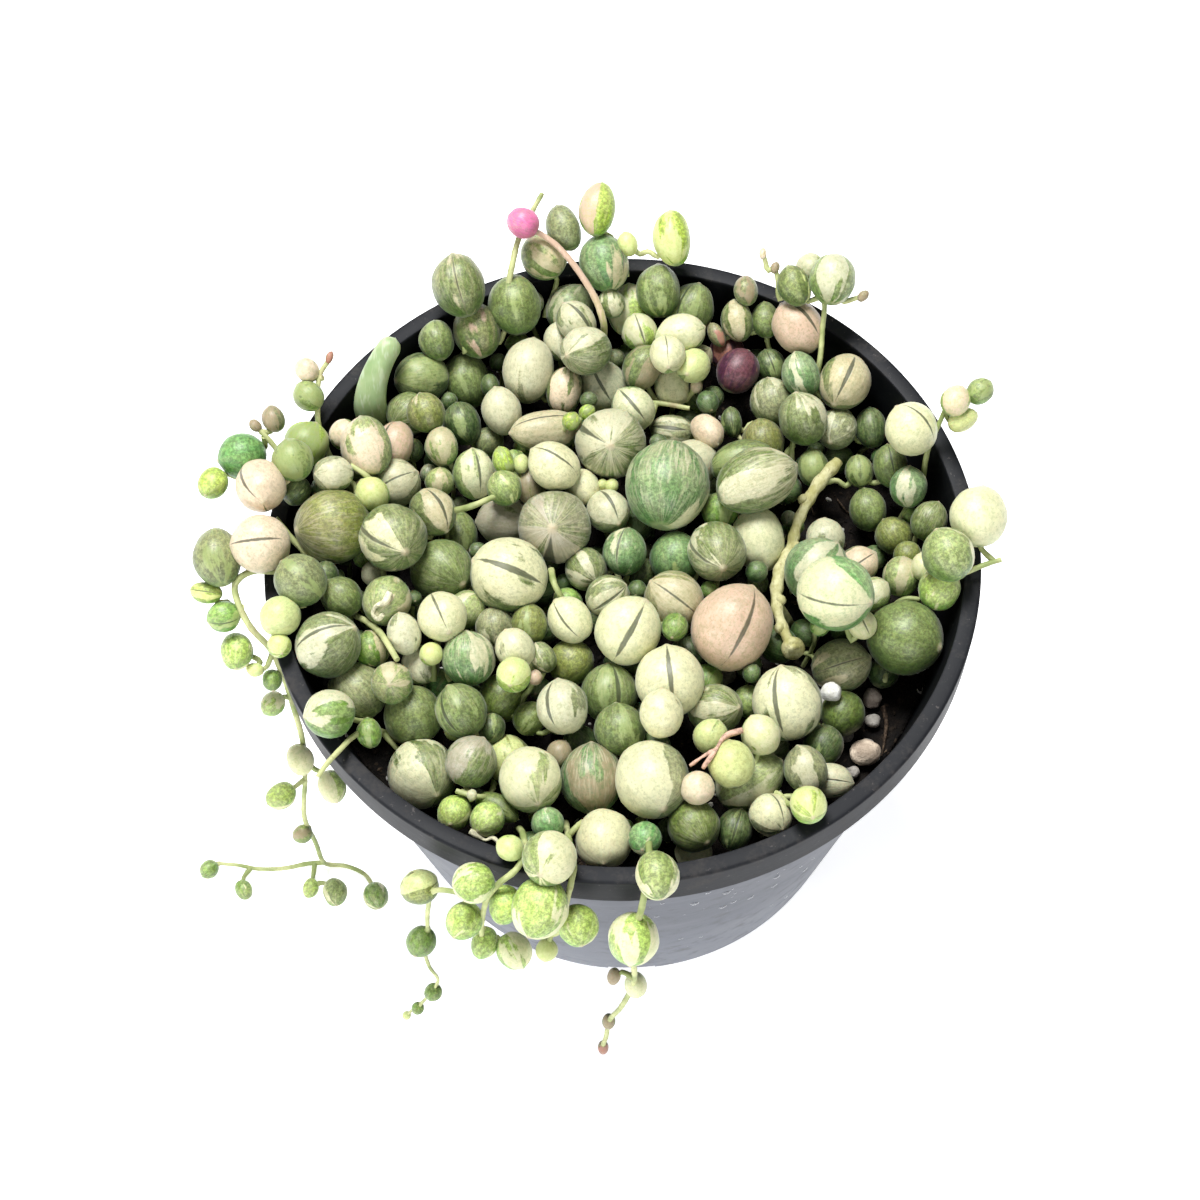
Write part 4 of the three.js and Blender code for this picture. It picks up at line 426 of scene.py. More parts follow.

# A strand: its name, its root's true x and y, and its stem and side stem as points (x and y as seen,
# height over the rim). Then its pearls, one a line: x and y as seen, height over the rim, width,
# length, the way its tip points round from +X, the tip's rise, and its look
# Painted light: most hanging pearls have a slit turn of 180, which turns their pale tissue away from the eye
# so that it shows at their rims as a painted rim highlight
STRANDS = """
strand_left_back
root -40 15
stem -44.5 20 0, -46.2 25 3.5, -46.6 30 5.5, -46.4 34.5 7, -45.2 37 8
-48.5 35.3 7.5 3.4 3.8 130 20 mq 70 20
-48 30.4 6 4.2 4.8 140 20 mm 40
-45.1 37.6 8.4 1.1 2.2 70 20 kr 60
-48 21.5 4 6.4 6.8 60 30 lm 35 10
strand_left_tips
root -41 9
stem -50 15.5 3, -52.3 20.5 5, -54.5 23.5 6.5, -55.8 25 7.2
-49 18.3 5.6 5.8 6.2 110 20 mm 40 15
-53.3 26.3 7 3.2 4.2 110 20 at 40 30
-56 25.2 7.4 1.6 2.2 140 20 kt 50
-57.6 19.7 4.8 6.6 6.8 200 10 jm 12 5 0 180
-61.8 15 5 4.2 5 250 10 ly 15 25 0 180
-54.4 14.5 6.4 7 9.4 285 25 kq 95 25 10 35
-49 13.3 2.6 4.2 4.4 60 0 dm 15
strand_left_hanging
root -42.5 -2
stem -47.5 1.5 1.2, -51 -0.5 1.3, -55 -0.5 2.4, -57.3 -2.5 2, -56.6 -6 0, -54.5 -10 -2.5, -51.5 -13.5 -6.5
stem -49.3 -18 -12, -47.6 -23 -20, -46 -28.5 -30, -45.4 -34 -42, -45.2 -40 -54, -43.4 -44 -65, -42.3 -46.7 -74
stem -41.5 -47.2 -77.1, -39 -47.5 -77.1, -36.4 -48.8 -77.1, -35.2 -50.6 -76.6
spur -42 -46.9 -76.4, -44.4 -47 -77.1, -47.6 -47.6 -77.1, -51.2 -47.6 -77.1, -54 -47 -77.1, -56.6 -46.7 -76.9
-54 4 5.3 8 8.4 95 30 sq 92 10 8 0 90
-60.2 2 4 6.6 9 100 10 am 15
-61.5 -4 0.8 3 5.2 170 0 y
-58.6 -8 -1.5 4.4 4.8 200 10 b
-56.3 -13.8 -6 4.6 5.8 275 0 nx 62 5 0 180
-53.5 -16.9 -8 2 2.8 170 0 ny 70
-50.9 -18.6 -11 2.8 3.4 280 0 gm 30 25 0 180
-50.6 -22.4 -17 3.4 4 230 -10 nx 72 25 0 180
-46.2 -31.2 -31 4 5.2 290 -20 nx 97 5
-48.6 -36.8 -41 4 5.2 215 0 nx 50 25 0 180
-41.5 -35.5 -36 4.2 5.8 290 0 nx 62 25 0 60
-45.3 -42.6 -58 3 3.4 200 -20 mt 40
-43.8 -50.6 -76.6 2.6 3.8 260 0 nx 60 25 0 180
-40.4 -51.2 -75.9 4 5 280 0 mx 60 5 0 180
-34.8 -51.9 -75.8 4.2 4.8 290 0 gx 60 25 0 180
-58 -47.5 -76.4 3 3.4 230 0 gx 45 25 0 180
-53 -50.6 -76.4 2.8 3.8 300 0 gx 45 25 0 180
strand_left_rim
-41 -5.2 0.5 5.6 6.2 130 20 sm 10
-47.7 -2.2 4.4 7.2 7.4 140 20 am 15 10
-50.3 -8.4 3.7 5.6 5.8 240 20 my 90
-50.2 -12.8 2.4 3.3 3.5 290 20 ly 60
-43.8 -0.9 0 3.6 3.8 90 0 dm 5
strand_left_big
-43.5 5.9 1.5 10.6 11 200 20 ot 14 50
-37.5 12.3 1.5 4.8 5.2 130 20 ly 50
-44.2 16.8 4.5 5.2 6 200 30 aw 45 50
-44.8 13.2 2 3.8 4 250 0 bm 30
-36.8 -1.4 -4 3.6 3.8 90 0 aw 60 30
-33.4 4.2 0.8 9.4 9.8 300 30 sx 35 20 10 35
-28.2 9 0 6.4 7.6 130 30 sc 30 10 12 -30 180
-27.3 14.2 -2 4.2 4.2 90 20 mc 30
-24.3 4.6 -5 5.6 8.4 95 0 sm 20
strand_left_crown
-39.3 20.3 3 7.2 9.4 105 20 mq 50 25 0 -50
-43.4 22.6 2.2 4.4 4.8 110 0 mq 55 20
-34.4 20.9 0 5.6 7.4 80 10 mp 100 25 10 -30
-34.2 14.4 -0.5 7 7.2 20 20 aw 45 30 6
-31.6 20 -4.5 3.4 3.6 90 0 dm 20
strand_left_front
-43 -13.4 -0.6 9 9.2 20 30 sw 38 20 8 -25
-36.7 -13.9 -2.6 5 5.2 110 20 gc 45 10 0 60
-38.3 -20.6 -3.8 8 8.4 130 20 am 10 50
-42.3 -24.2 3.9 6.6 6.8 100 40 gw 45 5 0 70 90
strand_front_left_shoot
root -34 -24
stem -37 -27 -2, -39 -28 1, -40.6 -29.8 2.6, -42.4 -32 3.2, -43.6 -34 3
-36.6 -27.4 -0.6 3.4 4.4 100 20 gm 25
-33.6 -19.7 -2 5.8 6 270 60 mc 40 30
-30.3 -25.8 -5.6 8.2 8.4 120 20 sm 15 20
-30 -34 -8 9.6 10 300 20 sx 50 40 0 50
strand_back_left_low
-30.8 33.4 -5 7.8 8.4 200 20 dm 25 30
-34.6 28 -4 6.4 6.6 230 20 sm 5 50
-23.6 32.9 -4 7.2 9.2 100 20 sm 8
-28.4 40.2 -3.5 5.2 6.4 100 20 sm 20
strand_back_left_high
-22.3 41.9 -0.5 7.2 8.8 100 20 sp 25 10 0 -50
-25 50.6 5.5 7.8 10 105 30 sc 20 30 4
-13.6 47.5 -3 3.4 3.8 60 0 g
-16.2 46 0 7.8 9.4 100 30 sm 5 10
strand_inner_left
-30 26.6 -2.4 5.6 6 110 30 oc 12 10 0 -30
-24.1 24.6 -4.5 5.6 7 110 20 dm 20 20
-27.3 20.7 -1 4.8 6.2 100 20 mc 50 20
-19.9 21.2 -7 4.4 4.6 60 0 am 10
-22.2 15.4 -3 6.2 7.8 95 30 mx 38 15 9 20
strand_inner_back
-13.9 34.6 -3 7.6 10.8 82 20 aw 55 60
-18 26.7 -2.4 5.8 7.8 110 30 aw 88 30
-20 31.4 -5.5 2.8 4.2 100 10 dm 5 10
-7.9 30.4 -4 5.4 8 80 20 sq 40
strand_boat
root -11 24
stem -14 13 -2.5, -16.5 16 0.4, -17.2 18.8 1.6
-11 22.8 -2 6.2 12.4 192 10 sc 62 15 7 35
-7.3 24.6 1.6 2.6 2.8 60 20 lm 30
-4.4 25.4 0.8 2.3 2.6 40 20 lm 30
-17.7 17.7 1.4 3 4.8 110 20 lm 30
-14.9 17.1 1 2.3 3 80 20 my 90
-17.5 12.8 0.8 5 5.2 120 20 my 15
-13.7 12.8 -2.6 4.4 6.4 100 20 ot 50
strand_white_star
-10.1 16 0.4 6.8 8.2 150 20 sx 72 10 8 20
-5.6 12.8 -1.6 5 5.4 90 20 ax 60 20
-2.6 13.1 -1.8 1.5 1.6 100 20 my 90
-1.3 12.8 -1.8 2 2.1 60 20 my 90
-2.2 8 -1.6 6.2 6.8 300 20 sw 55 25 12 -20
strand_grey_star
-10 5.8 -1 10.4 10.8 270 58 af 60 60 26 170
-17.6 7.2 -5.4 7.2 8 180 0 af 60 20
-5.2 -1.7 -3.4 6 6.6 300 20 sw 25 30 0 20
0.3 1.6 -3.4 6.2 7 80 20 bw 14 20 8 -20
3 -2.6 -7.6 5 5.2 60 0 dm 10
strand_dark_pair
-27 -0.7 -3 9 9.4 315 20 sm 10 30
-35.3 -6 0.2 6.8 7.6 250 30 mc 30 30
-31.7 -11.8 -1 4.6 6.6 105 30 aw 45 20
-30 -6.6 -7 4.4 4.6 60 0 dm 0
strand_cream_left
-16.4 -2.7 -1.2 10.6 11 165 25 sx 62 20 13 5
-22.8 -7.6 -2.4 5.4 5.6 40 40 mw 30 30
-14 -10.1 -3 5.2 6 85 30 om 20 20
-19 -10.9 -2 5.4 6 95 30 aw 30 30
strand_white_left
-26.2 -9.6 0.6 6.8 7.2 290 20 mx 100 5 8
-22.8 -15.6 -1.2 7.4 7.6 95 30 bw 34 50 0 60
-28 -15 0.2 3.2 3.4 240 30 ly 80
-29.7 -17 -3 5.2 5.6 110 20 aw 30 40
-26.8 -20 -7.5 4.4 4.6 60 0 jm 20
strand_young_front
-15.8 -14.4 -0.6 5.4 6 120 30 ax 62 40
-16 -18.7 1 4.7 5.4 260 30 ly 60
-11.8 -16 -2.8 3.6 4.8 120 20 sw 25 30
-17.6 -22.6 -5.6 6.8 7 60 0 em 10
-12.9 -19.2 -3 2 2.2 90 20 mp 90
strand_front_middle
-7.8 -10 -2 6 7.2 130 20 mx 95 10 8 -20
-7.6 -17 -6 6.4 6.6 60 0 om 5
-9 -24 -2.6 7 7.8 100 20 aw 75 20 12 -35
-13.8 -25.6 -6.4 4.6 5 60 0 em 10
strand_cream_middle
-2.2 -6.3 -2.2 6 6.4 20 30 sw 45 20 10 20
0.9 -12.7 -0.6 9 10 50 40 mx 88 15 13 10
7.5 -6.9 -3 8 8.6 150 30 oc 42 45 6
7.5 -11.5 -0.4 3.6 4.6 260 20 gm 10
strand_dark_front
-2.2 -21.9 -4 8 8.2 90 30 sm 25 30 12 20
-1.2 -27.9 -5.4 7 7.2 100 20 sm 8 20
-9.6 -31.2 -5 3.4 3.8 60 20 at 60 20
-4.5 -34.8 -6 8.6 10 90 20 bt 20 95
strand_front_heap
-13.4 -35.4 -3.6 8.4 9.8 285 20 mx 50 40
-3.4 -44.4 -4.2 7.6 8.8 270 20 ax 74 45
-10.9 -41.8 -4.4 4.4 4.6 100 20 jw 25
-15 -43 -8 3.4 3.6 60 0 bm 30
strand_front_left_leaf
root -19 -30.5
stem -19.8 -37.6 -5, -21.8 -37.4 -4, -24 -36.6 -4
-18.2 -39.2 -6 3.4 8 330 0 em 10
-19.6 -41 -4 4.6 5 240 20 nx 50 25 0 180
-25.2 -41.8 -5.2 4.7 5 260 30 ny 48 25 0 180
-21.8 -37.3 -2.6 1.4 1.6 90 20 mw 90
-23.4 -23.6 -3 7 7.8 120 20 sm 25 30 12 -40
-22.7 -32.4 -5.6 7 7.2 60 20 sf 34 45
-16.8 -32 -8 6.6 7 100 20 oy 50 10
-19 -27 -7 4 4.4 80 0 dm 5
strand_front_left_hanging
root -16 -39
stem -14.6 -43.6 -1.5, -14.4 -46.4 1.2, -15.6 -48.6 1.4, -18 -50.6 0.2, -19.6 -53 -4, -20.2 -56 -10
stem -20.2 -58 -15
spur -19.6 -53 -4, -24 -51.6 -6, -26.8 -51.4 -9, -27.6 -54 -16, -27.6 -57 -24
-16.4 -45.4 2.4 3.4 3.8 160 20 ny 60
-21.4 -50.4 0.4 5.4 5.6 200 20 nx 62 5 0 180
-17 -53.6 -3.4 4.2 5.8 260 0 ny 32 5 0 180
-22.6 -55.8 -9 4.8 5.4 240 0 nx 42 5 0 180
-19.8 -59 -16.5 3.6 4.8 250 -20 nx 60 5 0 180
-15.8 -60.2 -17 4.8 5.4 300 -20 nx 88 5 0 180
-28.8 -50.8 -10.5 4.8 5.4 200 0 oy 45 5 0 60
-28.4 -58.6 -27 4.2 4.6 250 0 gm 10
strand_front_overhang
root -9 -38
stem -8 -46 0.4, -7.6 -48.2 1.7, -8 -50.6 1.7, -8.6 -53.2 -0.8, -8.8 -56 -7
-11 -47 4.4 7 7.2 250 30 mx 62 10 0 -70
-12.3 -54.2 0.2 7.4 8.4 250 0 nx 60 10 0 180
-7.1 -56.8 -5.4 5.4 5.6 280 0 nx 45 5 0 180
-11.4 -60.2 -15 3 3.2 260 -20 ny 85
strand_front_hanging
root 1.5 -38
stem 2.6 -43 -4, 2.8 -46 1, 2.8 -48.4 1.7, 2.2 -51.6 1.5, 1.6 -54.4 -1.4, 0.6 -58 -9, 0.3 -62 -20
stem 0.2 -65.2 -34, -1.4 -68.2 -43, -3.1 -70.2 -53, -3.6 -72.4 -61, -4 -73.4 -65
2.3 -44.4 -1.4 4.4 4.8 260 30 jx 42 5 0 180
3.9 -49.9 4 5.6 6.8 280 0 mx 68 5 0 180
0.4 -58.9 -7.4 6.8 7 260 -20 nx 80 10 0 180
0.5 -65.4 -35.6 3.2 4.8 280 -60 nx 75
-2.4 -64.1 -31 1.9 3 250 -50 kt 60
-3.2 -70.3 -53.6 2 3 260 -60 ot 60
-4 -73.8 -67 1.7 4.4 260 -80 kr 50
strand_front_big
3.4 -35.6 -3.2 10 11.6 285 20 ax 68 20 0 60
9.8 -37 0 4.5 4.7 240 30 mq 100
9 -42.8 -5.6 7 7.2 300 20 em 5
9 -46.6 -8.2 5 5.2 330 0 mw 60
strand_front_rings
14.7 -33.5 0 6.2 6.4 95 20 oy 60 10
17.8 -36 -5.4 8 10.6 30 10 mw 30 30
12 -29 -3 4.8 5 60 30 my 60 20
19.2 -29 -1.4 5.2 5.8 120 30 lx 70
14.8 -43.4 -7 5 6 70 20 dm 15 20 10
strand_front_right
24.4 -34.6 -5.6 5.8 6.8 110 20 aw 26 20
25.2 -39.9 3 4.8 5.6 280 30 ly 50
20 -41.8 -4 5.7 5.9 300 20 ax 74 10 7 -40
29.2 -37.4 -6.4 4.8 7 350 10 aw 70 30 7
27.9 -30.8 -8.6 5.6 5.8 60 0 dm 5
strand_front_slits
6.2 -20 -1.6 9.4 9.8 95 20 ax 85 10 11
5.2 -25.3 0.2 5.8 6.8 90 30 ax 78 5
12.6 -24.8 -3.6 7 8.2 345 35 sw 20 40
strand_right_slit
23 -24.4 -2.4 9.6 10.6 100 30 ax 52 15 11 -25
17.4 -23.8 -7 4.4 4.6 60 0 mm 20
30.8 -26.2 -8.4 6.2 6.4 60 0 em 0 5
31.9 -18.1 -7.4 7.6 8.6 10 20 ac 14 30 4
strand_blush
15.8 -11.8 -1 11 12.6 60 25 op 76 25 8 20
13.8 0.9 -1.6 8.2 9.8 280 30 sw 28 30 10 60
7.9 0.6 -4 7.4 7.8 90 20 bm 8 10
strand_yellow
21.2 3.4 -2.2 7.6 10 100 30 mx 85 20
14.7 8 -2.4 5.3 5.5 90 20 gm 20
20.4 12.2 0.4 9 13 22 5 sw 34 80
18.6 16.6 -3.6 6.4 11 10 0 sm 30
strand_largest
6.8 12 -1 12 13.2 80 10 bw 28 70 0 75
11 16.4 -4.6 7.6 9 30 10 aw 60 30
8.2 22.2 -7 5.2 7.2 170 0 aw 30 30 16
13.3 21.6 -4 4.4 6.8 300 10 kq 80 20
strand_tall_star
root 3 32
stem 4.8 27.6 -4.5, 7.4 27.3 -3.6, 11 26.4 -3.4
-1.4 20.2 -0.4 10.2 11.2 270 55 sw 42 60 13 60
2.4 26.8 -3.4 6.2 7.2 130 20 gx 55 20 12
-2.4 31.1 -3 7.4 8.2 120 20 bw 60 30 10 -10
strand_back_cluster
-7.6 46 -1.6 7.2 7.8 60 30 c
-4.8 43.6 0.6 5.8 6.8 130 30 sw 60 20 14 20
-8.9 40 -3.4 4.4 6.6 100 20 aw 40 20
-4.9 37.3 -1.2 7.2 8.2 220 30 sw 36 40 0 60
-10.8 56.4 4.6 6.8 7.2 140 20 mc 35 10
-8.6 61 7 5 8 110 20 am 10
strand_back_rim
-1.6 54 4.6 7.4 9.2 100 20 bc 22 10 6 55
-2.7 65.2 9.4 5.4 9.2 80 20 lp 40 10 0 -70
-0.7 47.2 0.4 4.2 4.4 100 20 sw 30
2.2 45 -1 7.2 8.4 95 30 nw 55 40
1.9 58 6.4 3 4 110 30 ly 90
6.9 48.4 0.8 6.6 8.6 92 30 sm 14 20
9.2 59.2 7.6 5.6 9.6 95 20 ly 55 5 0 -60
11.8 45.3 0 7 8.8 70 30 sm 8 20 8 -30
strand_back_inner
4 40.4 -0.6 5.4 5.8 110 30 nw 40 20 8
9.8 40.6 -2.2 6 8.4 10 20 mx 62 30
3.5 34.4 -2.6 5.8 7.2 60 30 st 50 10 0 60
8.2 37 0.4 5.2 6.6 275 20 mx 85 20 5
11.9 34.3 -0.6 5 6.4 250 30 my 90
8.3 30.2 -2.6 5.2 6.6 95 30 mx 70 20
12.2 30.4 -3 1.8 2.2 90 20 mq 70
strand_back_right
19 42.6 -0.8 4.8 7 100 20 sc 35 10 0 -30
20.7 48.4 2.6 3.6 4.8 95 20 at 30
23.8 42.8 -0.6 4.2 6 95 20 sm 5
15.5 40.2 -3.4 2.4 4.6 120 20 ar 30
23.8 33.9 -4.4 4.6 5.4 110 20 dm 30 20 8
strand_right_shoot
root 30 30
stem 31 32 -2, 31.8 36 0.8, 32.4 41 3.4, 33 45 5.6, 32.8 47 6.6
28.2 40.6 1.4 7.2 9 130 20 sp 85 10 12 25
34.6 50.2 9 6.8 7.8 80 20 mw 40 15
28.4 49 7 4.8 6.8 110 20 sy 20 10 0 60
39.2 46.8 7.4 1.4 2.2 40 20 kt 50
31.2 52.4 6.4 4.4 4.8 90 20 mw 45 10
25.6 52.8 8.6 1.3 2 70 20 kt 50
23.8 55.6 9.6 1.1 2 90 20 mq 70
strand_right_back
35.3 30.7 -2 7.6 9.2 60 40 sc 60 20 12 0 180
29 32.2 -2 5.6 7.2 110 30 bw 28 20
33.4 22 -5 5.8 7.8 250 20 aw 24 20 0 -30
38.5 22 -6 4.6 6.8 95 20 dm 0
strand_right_inner
root 26.5 21.5
stem 26.2 16.4 -7, 26.3 18.6 -4.6, 26.8 21 -3
28.4 24.4 -2.6 7 8.2 110 40 sw 20 15 0 60
23.6 27.4 -4.6 6.4 7.6 100 20 aw 20 30
22 19.9 -4.6 6.2 7.2 100 20 ot 30 30
17.3 23.6 -6 3.2 5.2 95 20 dm 25 20 8
strand_right_rim_shoot
root 42 9
stem 45.6 12.6 -3.2, 46.4 16 0, 47.4 19.2 2.4, 49 22.4 4.4, 50.2 25 6
44.7 21.6 4.3 7.4 7.8 130 30 mx 100 10 8 30
52 26.4 8 4.2 4.6 60 20 lq 60 20
52.6 23.2 6.4 3.2 5 25 10 oy 90
55.8 28.2 9 3.6 4.2 40 20 mm 30
43.4 11.3 -2 5.4 6 85 30 bw 30 10
strand_right_small
29.3 15 -5.4 4.6 6 95 20 sm 30 20
36.2 14.3 -7 4.2 5 95 20 sm 30
41 15 -5 5 7.2 100 20 sm 15 20 8
37 7.5 -8.6 5.4 6.8 100 20 sm 5
40.6 2.8 -7 5.4 5.6 125 20 om 5
46 5.3 -4 5.2 6.2 60 30 sm 15 60
strand_right_rim
root 40.5 0
stem 49.6 -4 1.4, 51.5 -3.2 2.2, 54 -2.2 2.8, 56 -1.6 3
48.2 -0.8 4.4 7.2 7.6 120 30 mx 60 10 0 180
53.4 5.8 5.6 8 8.6 80 20 mx 95 15
46.8 -6.7 -0.6 5.8 6.2 60 50 nx 60 20 0 180
44.4 -2.6 -2.4 3.6 4.4 100 20 lx 85
41.1 -4 -4.2 5.2 6 80 20 mc 40 20
42.2 -0.4 -6.4 4 4.2 90 0 om 0
strand_right_white
31.4 -6.8 -0.4 10.2 10.8 330 20 jx 46 20 5 30
27.3 -2.8 -2.6 9 9.4 45 30 bw 35 20
30.3 2.6 -5.4 5.6 6.2 90 20 aw 50 20
34.8 -2 -4.2 5.4 6.2 30 20 aq 55 30 7
37 -7.5 -2.6 4.6 5.2 30 20 mw 50 20
35.2 -11.6 -0.6 4 4.4 120 30 lx 85 10 8
strand_right_big
root 38 -8.5
stem 41 -7.8 -5.2, 43.4 -7.9 -5
41.2 -14.2 -4.8 10.4 10.8 330 20 sm 3 5
37.4 -19.4 -9.4 4.4 4.8 60 0 d
"""
PURPLE = [(18.9, 33, -3.4, 6.2, 7.2, 60, 20, "vr 5 0"), (17.2, 36.6, -5.4, 5.4, 6, 110, 20, "vr 40 5")]
STALK = [
    (-2, 39.4, -3.4), (-2, 43, 1.4), (-3, 47, 3.4), (-5, 51.5, 5.2), (-7.2, 55.4, 6.8), (-9.7, 58.8, 8),
    (-12.2, 61, 8.8),
]
STALK_ROOT = (-1, 41.5)
BUD = (-14.7, 62.8, 9.4, 4.5, 4.9, 160, 25, "kh 95 40")
GREEN_SHOOT = [
    (-16.3, 46.6, 0.8), (-17, 50.4, 4.6), (-16.4, 55, 7), (-15.4, 60, 8.2), (-13.4, 65, 9), (-11.6, 69, 9.6),
]
LEAF = [(-37.6, 25.4, -7), (-38.4, 29, -1.4), (-38, 33, 1), (-36.6, 37.4, 3), (-34.8, 41, 4.4)]
LEAF_ROOT = (-37.5, 26)
CUT_STEM = [
    (33.2, 16.2, -3), (30.2, 12.6, -3.2), (28, 9, -3.4), (26.2, 5, -3.8), (25.2, 1.4, -4.6), (23.2, -3, -3.8),
    (22.5, -8, -3.6), (23.3, -12.5, -3.8), (24.6, -15.8, -3.4),
]
CUT_ROOT = (25, -7)
CUT_FOOT = 6

CURVE_MARKS = 201
CORNER_STEP = 6.5
SOIL_REACH = 6
TABLE_GAP = 0.1
EASE_TURNS = 320
EASE = 0.6
# For so many turns each pearl is drawn back to its place: along its line of sight, and across it
HOMING_TURNS = 180
HOMING = (0.01, 0.08)
# Pearls nearer to each other than this share of both lengths may touch
NEAR = 0.6
# Pearls of one strand may sink this far into each other
TOUCH = 0.45
ROOT_RING = 44.5
ROOT_APART = 3.2
NEAREST = 14
BENDS = (1.5, 2.5, 3.5, 5)
CLOCK = [hour * math.pi / 6 for hour in range(12)]
FILLERS = 24
FILLER_TRIES = 2600
FILLER_REACH = 5.5
SLIM = 1.08


def read_strands(text):
    bunches = []
    for line in text.split("\n"):
        words = line.replace(",", " ").split()
        if len(words) == 1:
            bunches.append({"name": words[0], "root": None, "stem": [], "spur": [], "pearls": []})
        elif words and words[0] in ("root", "stem", "spur"):
            values = [float(word) for word in words[1:]]
            if words[0] == "root":
                bunches[-1]["root"] = tuple(values)
            else:
                bunches[-1][words[0]] += [tuple(values[k:k + 3]) for k in range(0, len(values), 3)]
        elif words:
            bunches[-1]["pearls"].append((*map(float, words[:7]), " ".join(words[7:])))
    return bunches


def random_source(seed):
    """Seeded random numbers, the same on every run."""
    state = seed
    while True:
        state = state * 16807 % 2147483647
        yield state / 2147483647


def seen(x, y, up):
    z = POT_HEIGHT + up
    reach = (z - EYE[2]) / (READING_PLANE - EYE[2])
    return np.array((x * reach, EYE[1] + (y - EYE[1]) * reach, z))


def towards(turn, rise):
    a, b = math.radians(turn), math.radians(rise)
    return np.array((math.cos(a) * math.cos(b), math.sin(a) * math.cos(b), math.sin(b)))


class Curve:
    """A smooth curve through points, centripetal, with even steps along its length."""

    def __init__(self, points):
        self.points = np.array(points, float)
        self.t = np.linspace(0, 1, CURVE_MARKS)
        steps = np.linalg.norm(np.diff([self.at(v) for v in self.t], axis=0), axis=1)
        self.lengths = np.concatenate(([0], np.cumsum(steps)))
        self.length = self.lengths[-1]

    def at(self, t):
        p = self.points
        last = len(p) - 1
        k = min(int(math.floor(last * t)), last - 1)
        w = last * t - k
        before = p[k - 1] if k > 0 else 2 * p[0] - p[1]
        after = p[k + 2] if k + 2 <= last else 2 * p[last] - p[last - 1]
        a, b = p[k], p[k + 1]
        d0, d1, d2 = (np.sum(step ** 2) ** 0.25 for step in (a - before, b - a, after - b))
        d1 = 1.0 if d1 < 1e-4 else d1
        d0 = d1 if d0 < 1e-4 else d0
        d2 = d1 if d2 < 1e-4 else d2
        m1 = ((a - before) / d0 - (b - before) / (d0 + d1) + (b - a) / d1) * d1
        m2 = ((b - a) / d1 - (after - a) / (d1 + d2) + (after - b) / d2) * d1
        c2 = -3 * a + 3 * b - 2 * m1 - m2
        c3 = 2 * a - 2 * b + m1 + m2
        return a + m1 * w + c2 * w * w + c3 * w * w * w

    def even(self, steps):
        goal = np.linspace(0, self.length, steps + 1)
        return np.array([self.at(v) for v in np.interp(goal, self.lengths, self.t)])


def points_along(points):
    """Points one millimetre or less apart along a stem's straight pieces."""
    curve = Curve(points)
    corners = curve.even(max(2, len(points) - 1, math.floor(curve.length / CORNER_STEP + 0.5)))
    places = [corners[0]]
    for a, b in zip(corners[:-1], corners[1:]):
        pieces = math.ceil(np.linalg.norm(b - a))
        places += [a + (b - a) * k / pieces for k in range(1, pieces + 1)]
    return np.array(places)


def balls_of(at, tip, width, length):
    """Each pearl as three balls along its own axis: middle, tip end, stalk end."""
    half = length / 2
    end = np.minimum(width ** 2 / (4 * half), width / 2)
    centres = np.stack([at, at + tip * (half * 1.06 - end)[:, None], at + tip * (end - half)[:, None]], 1)
    return centres, np.stack([width / 2, end, end], 1)


def push_from_pot(at, radius):
    """The push that takes balls clear of the pot's wall, the soil and the surface below."""
    push = np.zeros_like(at)
    out = np.hypot(at[:, 0], at[:, 1])
    half, inset = (POT_RADIUS - MOUTH_RADIUS) / 2, WALL / 2
    walls = [
        (MOUTH_RADIUS + half, POT_HEIGHT - half, MOUTH_RADIUS + half, POT_HEIGHT - RIM_BAND + half, half),
        (MOUTH_RADIUS + inset, POT_HEIGHT - inset, mouth_radius(0) + inset, 0, inset + 0.1),
    ]
    for r0, z0, r1, z1, thick in walls:
        along = ((out - r0) * (r1 - r0) + (at[:, 2] - z0) * (z1 - z0)) / ((r1 - r0) ** 2 + (z1 - z0) ** 2)
        t = np.clip(along, 0, 1)
        dr, dz = out - (r0 + t * (r1 - r0)), at[:, 2] - (z0 + t * (z1 - z0))
        gap = np.hypot(dr, dz)
        short = np.maximum(0, radius + thick + ROOM - gap)
        outward = dr / gap * short
        push += np.stack([at[:, 0] / out * outward, at[:, 1] / out * outward, dz / gap * short], 1)
    ground = SOIL_TOP + SOIL_BUMP + ROOM
    inside = (out < MOUTH_RADIUS) & (at[:, 2] > ground - SOIL_REACH)
    push[:, 2] += np.where(inside, np.maximum(0, ground + radius - at[:, 2]), 0)
    push[:, 2] += np.maximum(0, radius + TABLE_GAP - at[:, 2])
    return push


def separation(first, first_radius, second, second_radius, room):
    """For each pair of sets of balls, the push on the first that parts it from the second."""
    gap = first[:, :, None, :] - second[:, None, :, :]
    apart = np.linalg.norm(gap, axis=3)
    short = first_radius[:, :, None] + second_radius[:, None, :] + room[:, None, None] - apart
    flat = short.reshape(len(short), -1)
    pick = flat.argmax(1)
    rows = np.arange(len(flat))
    worst = flat[rows, pick]
    step = gap.reshape(len(flat), -1, 3)[rows, pick]
    reach = np.maximum(apart.reshape(len(flat), -1)[rows, pick], 1e-6)
    return np.where(worst[:, None] > 0, step * (worst / reach)[:, None], 0)


